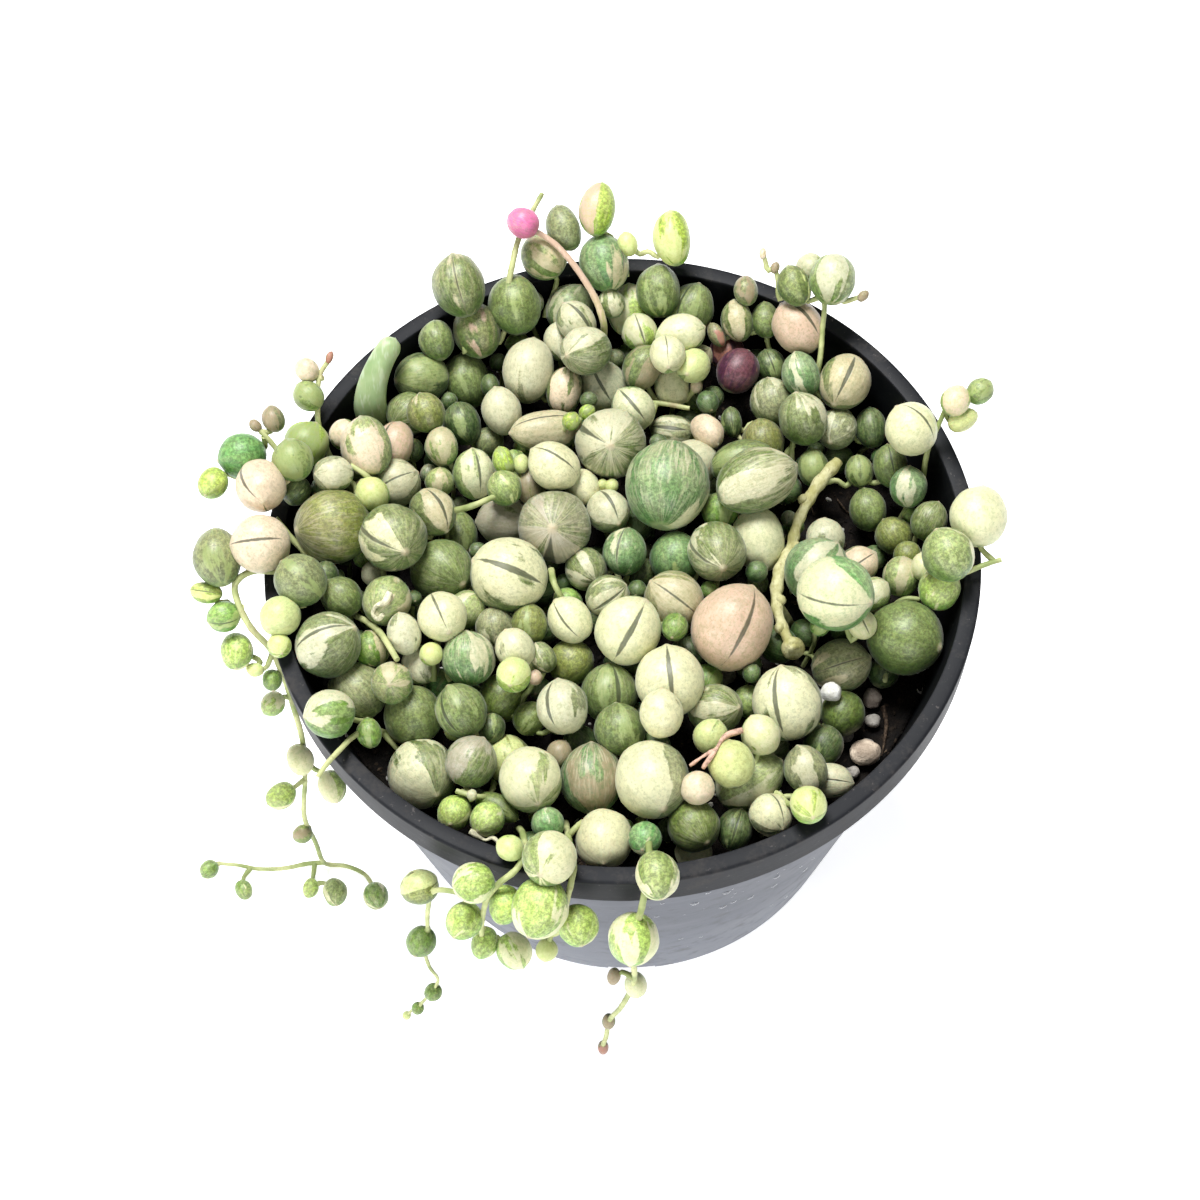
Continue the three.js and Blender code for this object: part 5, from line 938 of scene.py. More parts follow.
def ease_apart(home, tip, width, length, owner, bars, bar_radius, bar_owner):
    """Eases the pearls apart until none would cross another, each near its own line of sight."""
    at = home.copy()
    sight = (home - EYE) / np.linalg.norm(home - EYE, axis=1)[:, None]
    upper = np.triu(np.ones((len(at), len(at)), bool), 1)
    reach = ((length[:, None] + length[None, :]) * NEAR) ** 2
    bar_reach = (length[:, None] * NEAR + bar_radius[None, :] + ROOM) ** 2
    foreign = owner[:, None] != bar_owner[None, :]
    for turn in range(EASE_TURNS):
        balls, radii = balls_of(at, tip, width, length)
        pushes = np.zeros_like(at)
        i, j = np.nonzero(upper & (np.sum((at[:, None] - at[None]) ** 2, 2) <= reach))
        room = np.where(owner[i] == owner[j], -TOUCH, ROOM)
        push = separation(balls[i], radii[i], balls[j], radii[j], room) * 0.5
        np.add.at(pushes, i, push)
        np.add.at(pushes, j, -push)
        i, j = np.nonzero(foreign & (np.sum((at[:, None] - bars[None]) ** 2, 2) <= bar_reach))
        room = np.full(len(i), ROOM)
        push = separation(balls[i], radii[i], bars[j][:, None], bar_radius[j][:, None], room) * 0.5
        np.add.at(pushes, i, push)
        for k in range(3):
            pushes += push_from_pot(balls[:, k], radii[:, k])
        at = at + pushes * EASE
        if turn < HOMING_TURNS:
            back = home - at
            along = np.sum(back * sight, 1)[:, None]
            at = at + sight * along * HOMING[0] + (back - sight * along) * HOMING[1]
    return at


class Obstacles:
    """Everything that a new stem has to pass: pearls as balls, stems as points along them."""

    def __init__(self):
        self.points, self.radii, self.owners = [], [], []
        self.arrays = None

    def put(self, point, radius, owner):
        self.points.append(point)
        self.radii.append(radius)
        self.owners.append(owner)
        self.arrays = None

    def put_way(self, way, radius, owner):
        for a, b in zip(way[:-1], way[1:]):
            steps = math.ceil(np.linalg.norm(b - a))
            for k in range(steps + 1):
                self.put(a + (b - a) * k / steps, radius, owner)

    def solved(self):
        if self.arrays is None:
            self.arrays = np.array(self.points), np.array(self.radii), np.array(self.owners)
        return self.arrays

    def clear(self, a, b, radius, owner):
        """Whether a straight stem from a to b keeps its room from all that others own."""
        points, radii, owners = self.solved()
        line = b - a
        t = np.clip((points - a) @ line / max(line @ line, 1e-12), 0, 1)
        apart = np.linalg.norm(points - (a + t[:, None] * line), axis=1)
        return bool(np.all((owners == owner) | (apart > radii + radius + ROOM)))

    def crowded(self, point, radius, room=ROOM):
        points, radii, _ = self.solved()
        return bool(np.any(np.linalg.norm(points - point, axis=1) < radii + radius + room))


def turned_about(v, axis, angle):
    across = np.cross(axis, v) * math.sin(angle)
    return v * math.cos(angle) + across + axis * (axis @ v) * (1 - math.cos(angle))


def find_way(a, b, owner, obstacles):
    """The straight way between two points, or one bent once round what stands between, or nothing."""
    if obstacles.clear(a, b, LINK_RADIUS, owner):
        return [a, b]
    aim = (b - a) / np.linalg.norm(b - a)
    side = np.array((-aim[1], aim[0], 0.01))
    side /= np.linalg.norm(side)
    for reach in BENDS:
        for turn in CLOCK:
            bend = (a + b) / 2 + turned_about(side, aim, turn) * reach
            if np.any(push_from_pot(bend[None], np.array([LINK_RADIUS]))):
                continue
            if obstacles.clear(a, bend, LINK_RADIUS, owner) and obstacles.clear(bend, b, LINK_RADIUS, owner):
                return [a, bend, b]
    return None


def find_root(owner, members, roots, obstacles):
    """A place in the soil from which a plain stem reaches one of the bunch's pearls."""
    best = None
    for pearl in members:
        for ring in range(9):
            for a in CLOCK:
                foot = pearl["at"] + np.array((ring * math.cos(a), ring * math.sin(a), 0))
                foot[2] = SOIL_TOP + FOOT_HEIGHT
                length = np.linalg.norm(foot - pearl["at"])
                if best and length >= best[0] or math.hypot(foot[0], foot[1]) > ROOT_RING:
                    continue
                if any(math.hypot(r[0] - foot[0], r[1] - foot[1]) < ROOT_APART for r in roots):
                    continue
                if obstacles.clear(pearl["at"], foot, STEM_RADIUS, owner):
                    best = (length, foot, pearl)
    return best[1], best[2]


def link_bunch(owner, members, reached, obstacles):
    """Joins every pearl of a bunch to its stem or to a neighbour, the nearest first."""
    links = []
    waiting = list(members)
    while waiting:
        choices = [(np.linalg.norm(pearl["at"] - point), pearl, point)
                   for pearl in waiting for point in reached]
        choices.sort(key=lambda choice: choice[0])
        for apart, pearl, point in choices[:NEAREST]:
            sunk = apart < pearl["width"] / 2 * 0.5
            way = [] if sunk else find_way(pearl["at"], point, owner, obstacles)
            if way is not None:
                break
        else:
            break
        links.append((pearl, point, way))
        obstacles.put_way(way, LINK_RADIUS, owner)
        reached.append(pearl["at"])
        waiting = [each for each in waiting if each is not pearl]
        pearl["rooted"] = True
    return links


def bare(at, places):
    return any(math.hypot(at[0] - x, at[1] - y) < radius for x, y, radius in places)


def grow_fillers(pearls, obstacles):
    """Small pearls low in the heap, where there is room, each joined to a neighbour; their dark green is
    partly painted shade.
    """
    draw = random_source(4177)
    links = []
    for _ in range(FILLER_TRIES):
        if len(links) == FILLERS:
            break
        a = next(draw) * 2 * math.pi
        out = math.sqrt(next(draw)) * ROOT_RING
        width = 4 + 1.6 * next(draw)
        up = width / 2 + ROOM + 0.1 + 4 * next(draw)
        turn = next(draw) * 360
        tip = towards(turn, next(draw) * 30)
        at = np.array((math.cos(a) * out, math.sin(a) * out, SOIL_TOP + SOIL_BUMP + up))
        if bare(at, BARE):
            continue
        length = width * SLIM
        balls, radii = balls_of(at[None], tip[None], np.array([width]), np.array([length]))
        balls, radii = balls[0], radii[0]
        if np.any(push_from_pot(balls, radii)) or any(map(obstacles.crowded, balls, radii)):
            continue
        near = [(np.linalg.norm(pearl["at"] - at), pearl) for pearl in pearls if pearl["rooted"]]
        near = [(apart, pearl) for apart, pearl in near if apart < FILLER_REACH + pearl["width"] / 2]
        for _, pearl in sorted(near, key=lambda each: each[0]):
            owner = pearl["owner"]
            if not obstacles.clear(at, pearl["at"], LINK_RADIUS, owner):
                continue
            # Painted shade, in part: the dark d look
            pearls.append({"at": at, "tip": tip, "width": width, "length": length, "look": "d",
                           "owner": owner, "rooted": True})
            for ball, radius in zip(balls, radii):
                obstacles.put(ball, radius, owner)
            obstacles.put_way([at, pearl["at"]], LINK_RADIUS, owner)
            links.append((pearls[-1], pearl["at"], [at, pearl["at"]]))
            break
    return links


def hand_placed_stems(bunches):
    """The given stems: owner, root, points, radius and whether tied on."""
    stems = []

    def put(owner, root, route, radius, tied=False):
        points = [seen(*point) for point in route]
        if root:
            deep, foot = (np.array((*root, SOIL_TOP + up)) for up in (-ROOT_DEPTH, FOOT_HEIGHT))
            points = [deep, foot] + points
        stems.append({"owner": owner, "root": root, "points": points, "radius": radius, "tied": tied})

    for bunch in bunches:
        if bunch["stem"]:
            put(bunch["name"], bunch["root"], bunch["stem"], STEM_RADIUS)
        if bunch["spur"]:
            put(bunch["name"], None, bunch["spur"], LINK_RADIUS, True)
    put("flower", STALK_ROOT, STALK, STALK_RADIUS)
    put("strand_back_left_high", None, GREEN_SHOOT, STEM_RADIUS, True)
    put("long_leaf", LEAF_ROOT, LEAF, LEAF_WIDTH / 2)
    put("cut_stem", CUT_ROOT, [CUT_STEM[CUT_FOOT]], CUT_RADIUS)
    put("cut_stem", None, CUT_STEM, CUT_RADIUS)
    return stems


def grow_plant():
    bunches = read_strands(STRANDS)
    rows = [(row, bunch["name"]) for bunch in bunches for row in bunch["pearls"]]
    rows += [(row, "purple_pearls") for row in PURPLE] + [(BUD, "flower")]
    owners = list(dict.fromkeys(owner for _, owner in rows))
    stems = hand_placed_stems(bunches)
    traced = [points_along(stem["points"]) for stem in stems]
    number = {owner: k for k, owner in enumerate(owners + ["long_leaf", "cut_stem"])}
    tip = np.array([towards(row[5], row[6]) for row, _ in rows])
    width = np.array([float(row[3]) for row, _ in rows])
    length = np.array([float(row[4]) for row, _ in rows])
    at = ease_apart(
        np.array([seen(*row[:3]) for row, _ in rows]), tip, width, length,
        np.array([number[owner] for _, owner in rows]), np.concatenate(traced),
        np.concatenate([[stem["radius"]] * len(places) for stem, places in zip(stems, traced)]),
        np.concatenate([[number[stem["owner"]]] * len(places) for stem, places in zip(stems, traced)]),
    )
    pearls = [
        {"at": at[k], "tip": tip[k], "width": width[k], "length": length[k], "look": row[7], "owner": owner,
         "rooted": False}
        for k, (row, owner) in enumerate(rows)
    ]
    obstacles = Obstacles()
    for pearl, balls, radii in zip(pearls, *balls_of(at, tip, width, length)):
        for ball, radius in zip(balls, radii):
            obstacles.put(ball, radius, pearl["owner"])
    for stem, places in zip(stems, traced):
        for point in places:
            obstacles.put(point, stem["radius"], stem["owner"])
    for name, x, y, wide, deep, high, *_ in STONES:
        obstacles.put(np.array((x, y, SOIL_TOP + SOIL_BUMP + high / 2)), max(wide, deep) / 2, name)
    roots = [stem["root"] for stem in stems if stem["root"]]
    links, anchors = [], {}
    for owner in owners:
        own = [k for k, stem in enumerate(stems) if stem["owner"] == owner]
        anchors[owner] = main = [point for k in own if not stems[k]["tied"] for point in traced[k]]
        if any(stems[k]["root"] for k in own):
            main += [point for k in own if stems[k]["tied"] for point in traced[k]]
            continue
        members = [pearl for pearl in pearls if pearl["owner"] == owner]
        foot, pearl = find_root(owner, members, roots, obstacles)
        roots.append((foot[0], foot[1]))
        deep = np.array((foot[0], foot[1], SOIL_TOP - ROOT_DEPTH))
        links.append((pearl, deep, [pearl["at"], foot, deep]))
        obstacles.put_way([pearl["at"], foot], STEM_RADIUS, owner)
        main.append(pearl["at"])
        pearl["rooted"] = True
    for owner in owners:
        waiting = [pearl for pearl in pearls if pearl["owner"] == owner and not pearl["rooted"]]
        links += link_bunch(owner, waiting, anchors[owner], obstacles)
    links += grow_fillers(pearls, obstacles)
    return pearls, stems, links, owners, obstacles


pearls, stems, links, owners, obstacles = grow_plant()

# A hidden pearl's look: its skin and pale colour, share of the pale wedges, and fine streaks
LOOKS = {
    "g": ((0.13, 0.185, 0.07), (0.36, 0.36, 0.22), 0.3, 0.5),
    "c": ((0.16, 0.235, 0.075), (0.53, 0.52, 0.31), 0.55, 0.4),
    "y": ((0.25, 0.37, 0.06), (0.58, 0.64, 0.25), 0.5, 0.2),
    "b": ((0.14, 0.27, 0.045), (0.38, 0.48, 0.16), 0.4, 0.3),
    # d is dark green, partly painted shade, for the pearls that sit low in the heap
    "d": ((0.035, 0.085, 0.016), (0.11, 0.18, 0.055), 0.25, 0.3),
}
# A pearl that is seen has its own look: letters of its skin and its pale colour, then the share of
# the pale, and where they differ from the usual: the streaks, the slit's width, the slit's turn round
# the pearl, and how far the tip leans from the direction that it was measured in.
# Skins: s slate green, a ash, d dark (partly painted shade, for pearls low in the heap), o olive, l lime,
# g grass, b blue-green, k dried, m moss, v violet, n new green (lighter, partly painted light: it is mostly
# on the hanging pearls, which stand in strong light), e deep olive, j jade. Pales: c cream, w white, p pink,
# t tan, y yellow, m pale moss, r red, h bright pink, x brightest white, q blush, f faded
SKINS = {
    "s": (0.096, 0.14, 0.031), "a": (0.155, 0.18, 0.075), "d": (0.026, 0.062, 0.009),
    "o": (0.135, 0.162, 0.026), "l": (0.29, 0.41, 0.045), "g": (0.105, 0.21, 0.02),
    "b": (0.09, 0.19, 0.06), "k": (0.19, 0.155, 0.07), "m": (0.19, 0.26, 0.07),
    "v": (0.06, 0.008, 0.034), "n": (0.3, 0.43, 0.085), "e": (0.065, 0.105, 0.008),
    "j": (0.1, 0.26, 0.07),
}
PALES = {
    "c": (0.55, 0.49, 0.3), "w": (0.6, 0.59, 0.39), "p": (0.58, 0.42, 0.31), "t": (0.31, 0.25, 0.15),
    "y": (0.6, 0.66, 0.28), "m": (0.29, 0.36, 0.13), "r": (0.4, 0.17, 0.12), "h": (0.72, 0.16, 0.38),
    "x": (0.7, 0.69, 0.43), "q": (0.74, 0.6, 0.43), "f": (0.42, 0.38, 0.28),
}
USUAL = [25, 0, 0, 0]
# How much thinner a stem is drawn than its solid at its root and at its tip, and a stalk's radii
STEM_TAPER = (0.88, 0.62)
STALK_RADII = (0.36, 0.46)
PEARL_SIDES = 28
PEARL_RINGS = 20
PLUMP = 1.05
SMALL = 3
# Where a stalk leaves its pearl, as a share of the width from its middle, and how far it is straight
STALK_FOOT = 0.42
STRAIGHT = 1.2
# The direction that faces the eye, which slits and leaning tips are turned from
FACING = (0, -0.35, 0.94)
VALUES = {"turned": "FLOAT_VECTOR", "size": "FLOAT_VECTOR", "skin": "FLOAT_COLOR", "pale": "FLOAT_COLOR",
          "marks": "FLOAT_VECTOR", "bend": "FLOAT_VECTOR", "seed": "FLOAT", "girth": "FLOAT"}
SIZES = {"FLOAT": (1, "value"), "FLOAT_VECTOR": (3, "vector"), "FLOAT_COLOR": (4, "color")}


def slit_shape(w, z):
    """1 halfway along the clear slit, and 0 past its ends."""
    reach = w.math("DIVIDE", w.minus(z, 0.15), 0.83)
    return w.math("MAXIMUM", w.minus(1, w.times(reach, reach)), 0)


def pearl_skin():
    """Waxy skin in wedges from base to tip, read from each pearl's own ball-shaped coordinates."""
    w = Finish("pearl_skin", Specular_IOR_Level=0.45, Coat_Weight=0.2, Coat_Roughness=0.4, Sheen_Weight=0.15,
               Sheen_Roughness=0.4, Subsurface_Weight=0.1, Subsurface_Scale=0.001)

    def own(name, out):
        return w.add("ShaderNodeAttribute", out=out, attribute_name=name)

    ball, marks, seed = own("ball", 1), own("marks", 1), own("seed", 2)
    skin, pale = own("skin", 0), own("pale", 0)
    x, y, z = w.split(ball)
    share, slit, streak = w.split(marks)
    round_way = w.vector("NORMALIZE", w.xyz(x, y))
    shift = w.scale(w.xyz(seed, seed, seed), 9.7)
    height = w.xyz(z=z)

    def wedges(count, along, detail):
        way = w.scaled_on(round_way, count, w.scale(height, along))
        return w.noise(w.vector("ADD", way, shift), 1, detail, 0.55)

    broad, second = wedges(1.2, 0.55, 2), wedges(2.1, 0.4, 2)
    fine, hair = wedges(6, 1.2, 3), wedges(14, 3.2, 3)
    cells = w.grain(1900, 3, 0.8)
    mottle = w.noise(w.scaled_on(ball, 5, shift), 1, 4, 0.65)
    blotch = w.grain(620, 4, 0.7)

    # Green tissue: cells in two greens, with a greyish veil over part of it
    grey = w.mix(0.38, skin, pale)
    color = w.mix(w.step(mottle, 0.35, 0.68), w.scale(skin, 0.82), skin)
    color = w.over(color, w.step(w.nudged(second, cells, 0.12), 0.46, 0.54), 0.45, grey)
    # Painted light and shade: a lighter, greyer top where the light falls from above, and a deeper green
    # underneath
    up = w.split(w.add("ShaderNodeNewGeometry", out=1))[2]
    painted_top_light = w.times(w.step(w.line(mottle, 0.7, up), 0.85, 1.4), w.times(w.step(streak, 0, 0.08), 0.5))
    color = w.mix(painted_top_light, color, w.mix(0.32, w.scale(skin, 1.8), (0.32, 0.31, 0.16)))
    # Painted shade: the side that faces down is drawn a deeper green
    color = w.over(color, w.step(up, 0.6, -0.15), 0.8, w.vector("MULTIPLY", skin, (0.38, 0.68, 0.3)))
    color = w.over(color, w.step(blotch, 0.5, 0.66), 0.25, w.mix(0.3, w.scale(color, 1.5), grey))
    color = w.over(color, w.step(blotch, 0.5, 0.36), 0.25, w.scale(color, 0.6))
    color = w.over(color, w.step(cells, 0.5, 0.58), 0.6, w.scale(color, 1.7))
    color = w.over(color, w.step(cells, 0.49, 0.41), 0.6, w.scale(color, 0.5))

    # Pale tissue in wedges: crisp along their sides, and frayed by fine streaks
    edge = w.line(w.minus(0.5, share), 0.56, 0.55)
    frayed = w.nudged(w.nudged(broad, hair, 0.07), cells, 0.07)
    frayed = w.line(w.split(round_way)[1], 0.16, frayed)
    wedge = w.step(frayed, w.minus(edge, 0.025), w.math("ADD", edge, 0.025))
    tissue = w.over(pale, w.step(mottle, 0.6, 0.35), 0.3, w.mix(0.5, pale, skin))
    greener_pale_and_shade = w.mix(0.6, pale, skin)
    # Painted shade: pale tissue that faces down is drawn greener and darker. Under the blotches and cells
    # below, the same greener pale is the tissue's own tone
    tissue = w.over(tissue, w.step(up, 0.5, -0.3), 0.4, greener_pale_and_shade)
    tissue = w.over(tissue, w.step(blotch, 0.5, 0.36), 0.35, greener_pale_and_shade)
    tissue = w.over(tissue, w.step(cells, 0.5, 0.4), 0.5, greener_pale_and_shade)
    color = w.mix(wedge, color, tissue)

    # Dusty streaks that run together at the tip and fade out towards the foot
    near_tip = w.step(z, -0.55, 0.75)
    dusty = w.mix(0.35, w.vector("MULTIPLY", pale, (0.95, 0.9, 0.85)), (0.5, 0.46, 0.33))
    dust = w.times(w.times(near_tip, streak), w.step(fine, 0.38, 0.6))
    color = w.over(color, dust, 0.7, dusty)
    reach_down = w.times(w.line(near_tip, 0.6, 0.4), w.line(streak, 1.2, 0.06))
    threads = w.times(w.step(hair, 0.5, 0.6), reach_down)
    color = w.over(color, threads, 0.6, w.mix(0.5, dusty, (0.62, 0.6, 0.42)))
    dark = w.times(w.step(hair, 0.47, 0.36), w.line(streak, 0.3, 0.06))
    color = w.mix(dark, color, w.mix(0.6, color, skin))

    # Clear slit: a lens from near the tip down one side, dark where the light goes in
    turned_off = w.math("ABSOLUTE", w.math("ARCTAN2", x, y))
    off = w.times(turned_off, w.math("SQRT", w.minus(1.0001, w.times(z, z))))
    wobble = w.nudged(off, mottle, 0.06)
    lens = w.times(w.math("POWER", slit_shape(w, z), 0.75), w.times(slit, 0.7))
    has_slit = w.step(slit, 0.005, 0.02)
    inside = w.times(w.step(w.minus(wobble, lens), 0.022, -0.022), has_slit)
    rim = w.times(w.step(w.minus(wobble, w.times(lens, 1.6)), 0.05, -0.02), has_slit)
    color = w.over(color, rim, 0.35, pale)
    deep = w.mix(0.88, w.mix(0.5, skin, pale), (0.026, 0.032, 0.017))
    deep = w.over(deep, w.step(hair, 0.4, 0.6), 0.14, w.mix(0.35, skin, pale))
    color = w.over(color, inside, 0.92, deep)

    # Dry nub at the tip, the scar where the stalk joins, and a few freckles
    color = w.over(color, w.step(z, 0.982, 0.999), 0.7, (0.55, 0.48, 0.32))
    color = w.over(color, w.step(z, -0.93, -0.99), 0.6, (0.3, 0.36, 0.16))
    freckles = w.noise(w.scaled_on(ball, 20, shift), 1, 2, 0.6)
    color = w.over(color, w.step(freckles, 0.67, 0.76), 0.2, (0.14, 0.11, 0.06))
    rise = w.minus(w.line(fine, 0.7, w.times(cells, 0.45)), w.times(inside, 0.6))
    return w.dress(color, w.line(mottle, 0.3, 0.32), rise, 0.4, 0.0003)


def stem_skin():
    w = Finish("stem_skin", Specular_IOR_Level=0.4)
    cloud = w.grain(160, 3, 0.6)
    fine = w.grain(1500, 2, 0.6, (1, 1, 0.4))
    color = w.mix(w.step(cloud, 0.35, 0.6), (0.24, 0.3, 0.1), (0.5, 0.53, 0.25))
    color = w.over(color, w.step(cloud, 0.6, 0.72), 0.5, (0.45, 0.3, 0.21))
    color = w.over(color, w.step(fine, 0.55, 0.7), 0.4, (0.24, 0.2, 0.1))
    return w.dress(color, w.line(fine, 0.3, 0.4), fine, 0.4, 0.0002)


def stalk_skin():
    """The flower's stalk: brownish pink and downy above, yellow-green at its foot."""
    w = Finish("flower_stalk_skin", Specular_IOR_Level=0.25, Sheen_Weight=0.3)
    fine = w.grain(1900, 3, 0.6, (1, 0.4, 0.4))
    color = w.mix(w.step(w.split(w.place)[2], 0.078, 0.084), (0.42, 0.45, 0.16), (0.5, 0.35, 0.25))
    color = w.over(color, w.step(fine, 0.45, 0.65), 0.6, (0.62, 0.47, 0.36))
    return w.dress(color, w.line(fine, 0.3, 0.5), fine, 0.5, 0.0003)


def begin_tree(name, inputs):
    """A Geometry Nodes tree with named inputs: its wires, and the sockets of what it is given."""
    tree = bpy.data.node_groups.new(name, "GeometryNodeTree")
    face = tree.interface
    face.new_socket("Geometry", in_out="INPUT", socket_type="NodeSocketGeometry")
    for label, value in inputs.items():
        kind = "NodeSocketInt" if isinstance(value, int) else "NodeSocketFloat"
        face.new_socket(label, in_out="INPUT", socket_type=kind).default_value = value
    face.new_socket("Geometry", in_out="OUTPUT", socket_type="NodeSocketGeometry")
    return Wires(tree), tree.nodes.new("NodeGroupInput").outputs


def end_tree(w, geometry):
    w.put(w.tree.nodes.new("NodeGroupOutput").inputs[0], geometry)
    return w.tree


def strand_tree(pearl_material, stem_material):
    """One tree for every strand: its points become pearls, its lines become stems."""
    w, given = begin_tree("leafy_strand", {
        "Pearl sides": PEARL_SIDES, "Pearl rings": PEARL_RINGS, "Stem sides": 8, "Seed": 7,
        "Tip point": 0.05, "Unevenness": 0.032, "Slit depth": 0.035,
    })

    def own(name, kind="FLOAT"):
        return w.add("GeometryNodeInputNamedAttribute", {"Name": name}, data_type=kind)

    def bell(out, width):
        """1 on the pearl's axis, and less away from it."""
        return w.math("POWER", 2.718, w.times(w.math("POWER", w.math("DIVIDE", out, width), 2), -1))

    # Unit pearl: a grid rolled into a ball, with a pointed tip and a dimple at its foot
    columns, rows = w.math("ADD", given["Pearl sides"], 1), w.math("ADD", given["Pearl rings"], 1)
    grid = w.geo("MeshGrid", Size_X=1, Size_Y=1, Vertices_X=columns, Vertices_Y=rows)
    u, v, _ = w.split(w.geo("InputPosition"))
    u, v = w.times(w.math("ADD", u, 0.5), 2 * math.pi), w.math("ADD", v, 0.5)
    spread = w.minus(1, w.math("POWER", w.minus(1, v), 1.4))
    latitude = w.times(w.minus(spread, 0.5), math.pi)
    out, up = w.math("COSINE", latitude), w.math("SINE", latitude)
    x, y = w.times(out, w.math("COSINE", u)), w.times(out, w.math("SINE", u))
    stored = {"Geometry": grid, "Name": "ball", "Value": w.xyz(x, y, up)}
    grid = w.add("GeometryNodeStoreNamedAttribute", stored, data_type="FLOAT_VECTOR", domain="POINT")
    sharp = bell(out, 0.1)
    peak = w.math("ADD", w.times(sharp, given["Tip point"]), w.times(bell(out, 0.45), 0.02))
    lift = w.times(peak, w.math("GREATER_THAN", up, 0))
    dimple = w.times(w.times(sharp, 0.07), w.math("LESS_THAN", up, 0))
    shaped = w.xyz(x, y, w.math("ADD", up, w.math("ADD", lift, dimple)))
    grid = w.geo("SetPosition", Geometry=grid, Position=shaped)
    grid = w.geo("MergeByDistance", Geometry=grid, Distance=0.0001)

    # Pearls: one at each point, turned and sized by its own values, then made uneven
    parted = w.geo("SeparateGeometry", Geometry=given["Geometry"], Selection=own("is_stem"))
    dots = w.geo("MeshToPoints", Mesh=parted.node.outputs[1])
    turn, size = own("turned", "FLOAT_VECTOR"), own("size", "FLOAT_VECTOR")
    berries = w.geo("InstanceOnPoints", Points=dots, Instance=grid, Rotation=turn, Scale=size)
    berries = w.geo("RealizeInstances", Geometry=berries)
    form, seed = own("ball", "FLOAT_VECTOR"), own("seed")
    shift = w.scale(w.xyz(seed, seed, given["Seed"]), 5.3)
    uneven = w.minus(w.noise(w.scaled_on(form, 1.25, shift), 1, 1, 0.4), 0.5)
    uneven = w.times(uneven, w.times(given["Unevenness"], 2))
    fx, fy, fz = w.split(form)
    rounded = w.math("MAXIMUM", w.minus(1, w.times(fz, fz)), 0)
    off = w.times(w.math("ABSOLUTE", w.math("ARCTAN2", fx, fy)), w.math("SQRT", rounded))
    has_slit = w.math("GREATER_THAN", w.split(own("marks", "FLOAT_VECTOR"))[1], 0.004)
    groove = w.times(w.times(w.step(off, 0.28, 0.0), slit_shape(w, fz)), has_slit)
    push = w.times(w.minus(uneven, w.times(groove, given["Slit depth"])), own("girth"))
    bend = w.scale(own("bend", "FLOAT_VECTOR"), w.times(fz, fz))
    offset = w.scaled_on(w.geo("InputNormal"), push, bend)
    berries = w.geo("SetPosition", Geometry=berries, Offset=offset)
    berries = w.geo("SetMaterial", Geometry=berries, Material=pearl_material)

    # Stems: a round tube along each line, as thick as its own points say
    lines = w.geo("MeshToCurve", Mesh=parted)
    ring = w.geo("CurvePrimitiveCircle", Resolution=given["Stem sides"], Radius=1)
    tubes = w.geo("CurveToMesh", Curve=lines, Profile_Curve=ring, Scale=own("thick"), Fill_Caps=True)
    tubes = w.geo("SetMaterial", Geometry=tubes, Material=stem_material)
    joined = w.tree.nodes.new("GeometryNodeJoinGeometry")
    for part in (berries, tubes):
        w.put(joined.inputs[0], part)
    smooth = w.geo("SetShadeSmooth", Geometry=joined.outputs[0])
    return end_tree(w, w.geo("RealizeInstances", Geometry=smooth))


def smooth_line(points, step=0.8):
    """A stem's points: even steps on a smooth curve through a few."""
    curve = Curve(points)
    return curve.even(max(3, math.ceil(curve.length / step)))


def stalk_line(pearl, way, target):
    """The bowed joint from a pearl's foot to its stem, or to the foot of the pearl it joins."""
    def foot_of(one, toward):
        aim = (toward - one["at"]) / max(np.linalg.norm(toward - one["at"]), 1e-6)
        hanging = one["at"][2] < SOIL_TOP
        out = -0.5 * one["tip"] + 0.6 * aim + (0 if hanging else -0.35) * np.array((0, 0, 1))
        out /= np.linalg.norm(out)
        return one["at"] + out * one["width"] * STALK_FOOT, out

    start, leaving = foot_of(pearl, way[1])
    if target is not None:
        end, arriving = foot_of(target, way[-2])
    else:
        end, arriving = way[-1], np.zeros(3)
    reach = np.linalg.norm(end - start)
    straight = min(STRAIGHT, reach * 0.3)
    points = [start, start + leaving * straight]
    if len(way) > 2:
        points += list(way[1:-1])
    elif reach > 4:
        points.append((start + end) / 2 + np.array((0, 0, -0.08 * reach)))
    points += [end + arriving * straight, end] if target is not None else [end]
    return smooth_line(points, 0.7)


def pearl_turn(tip, slit_turn):
    """A frame whose Z runs to the pearl's tip and whose Y faces the side that has the slit."""
    z = Vector(tip).normalized()
    y = Vector(FACING)
    y = (y - z * y.dot(z)).normalized()
    y = Matrix.Rotation(slit_turn, 3, z) @ y
    return Matrix((y.cross(z), y, z)).transposed().to_euler()


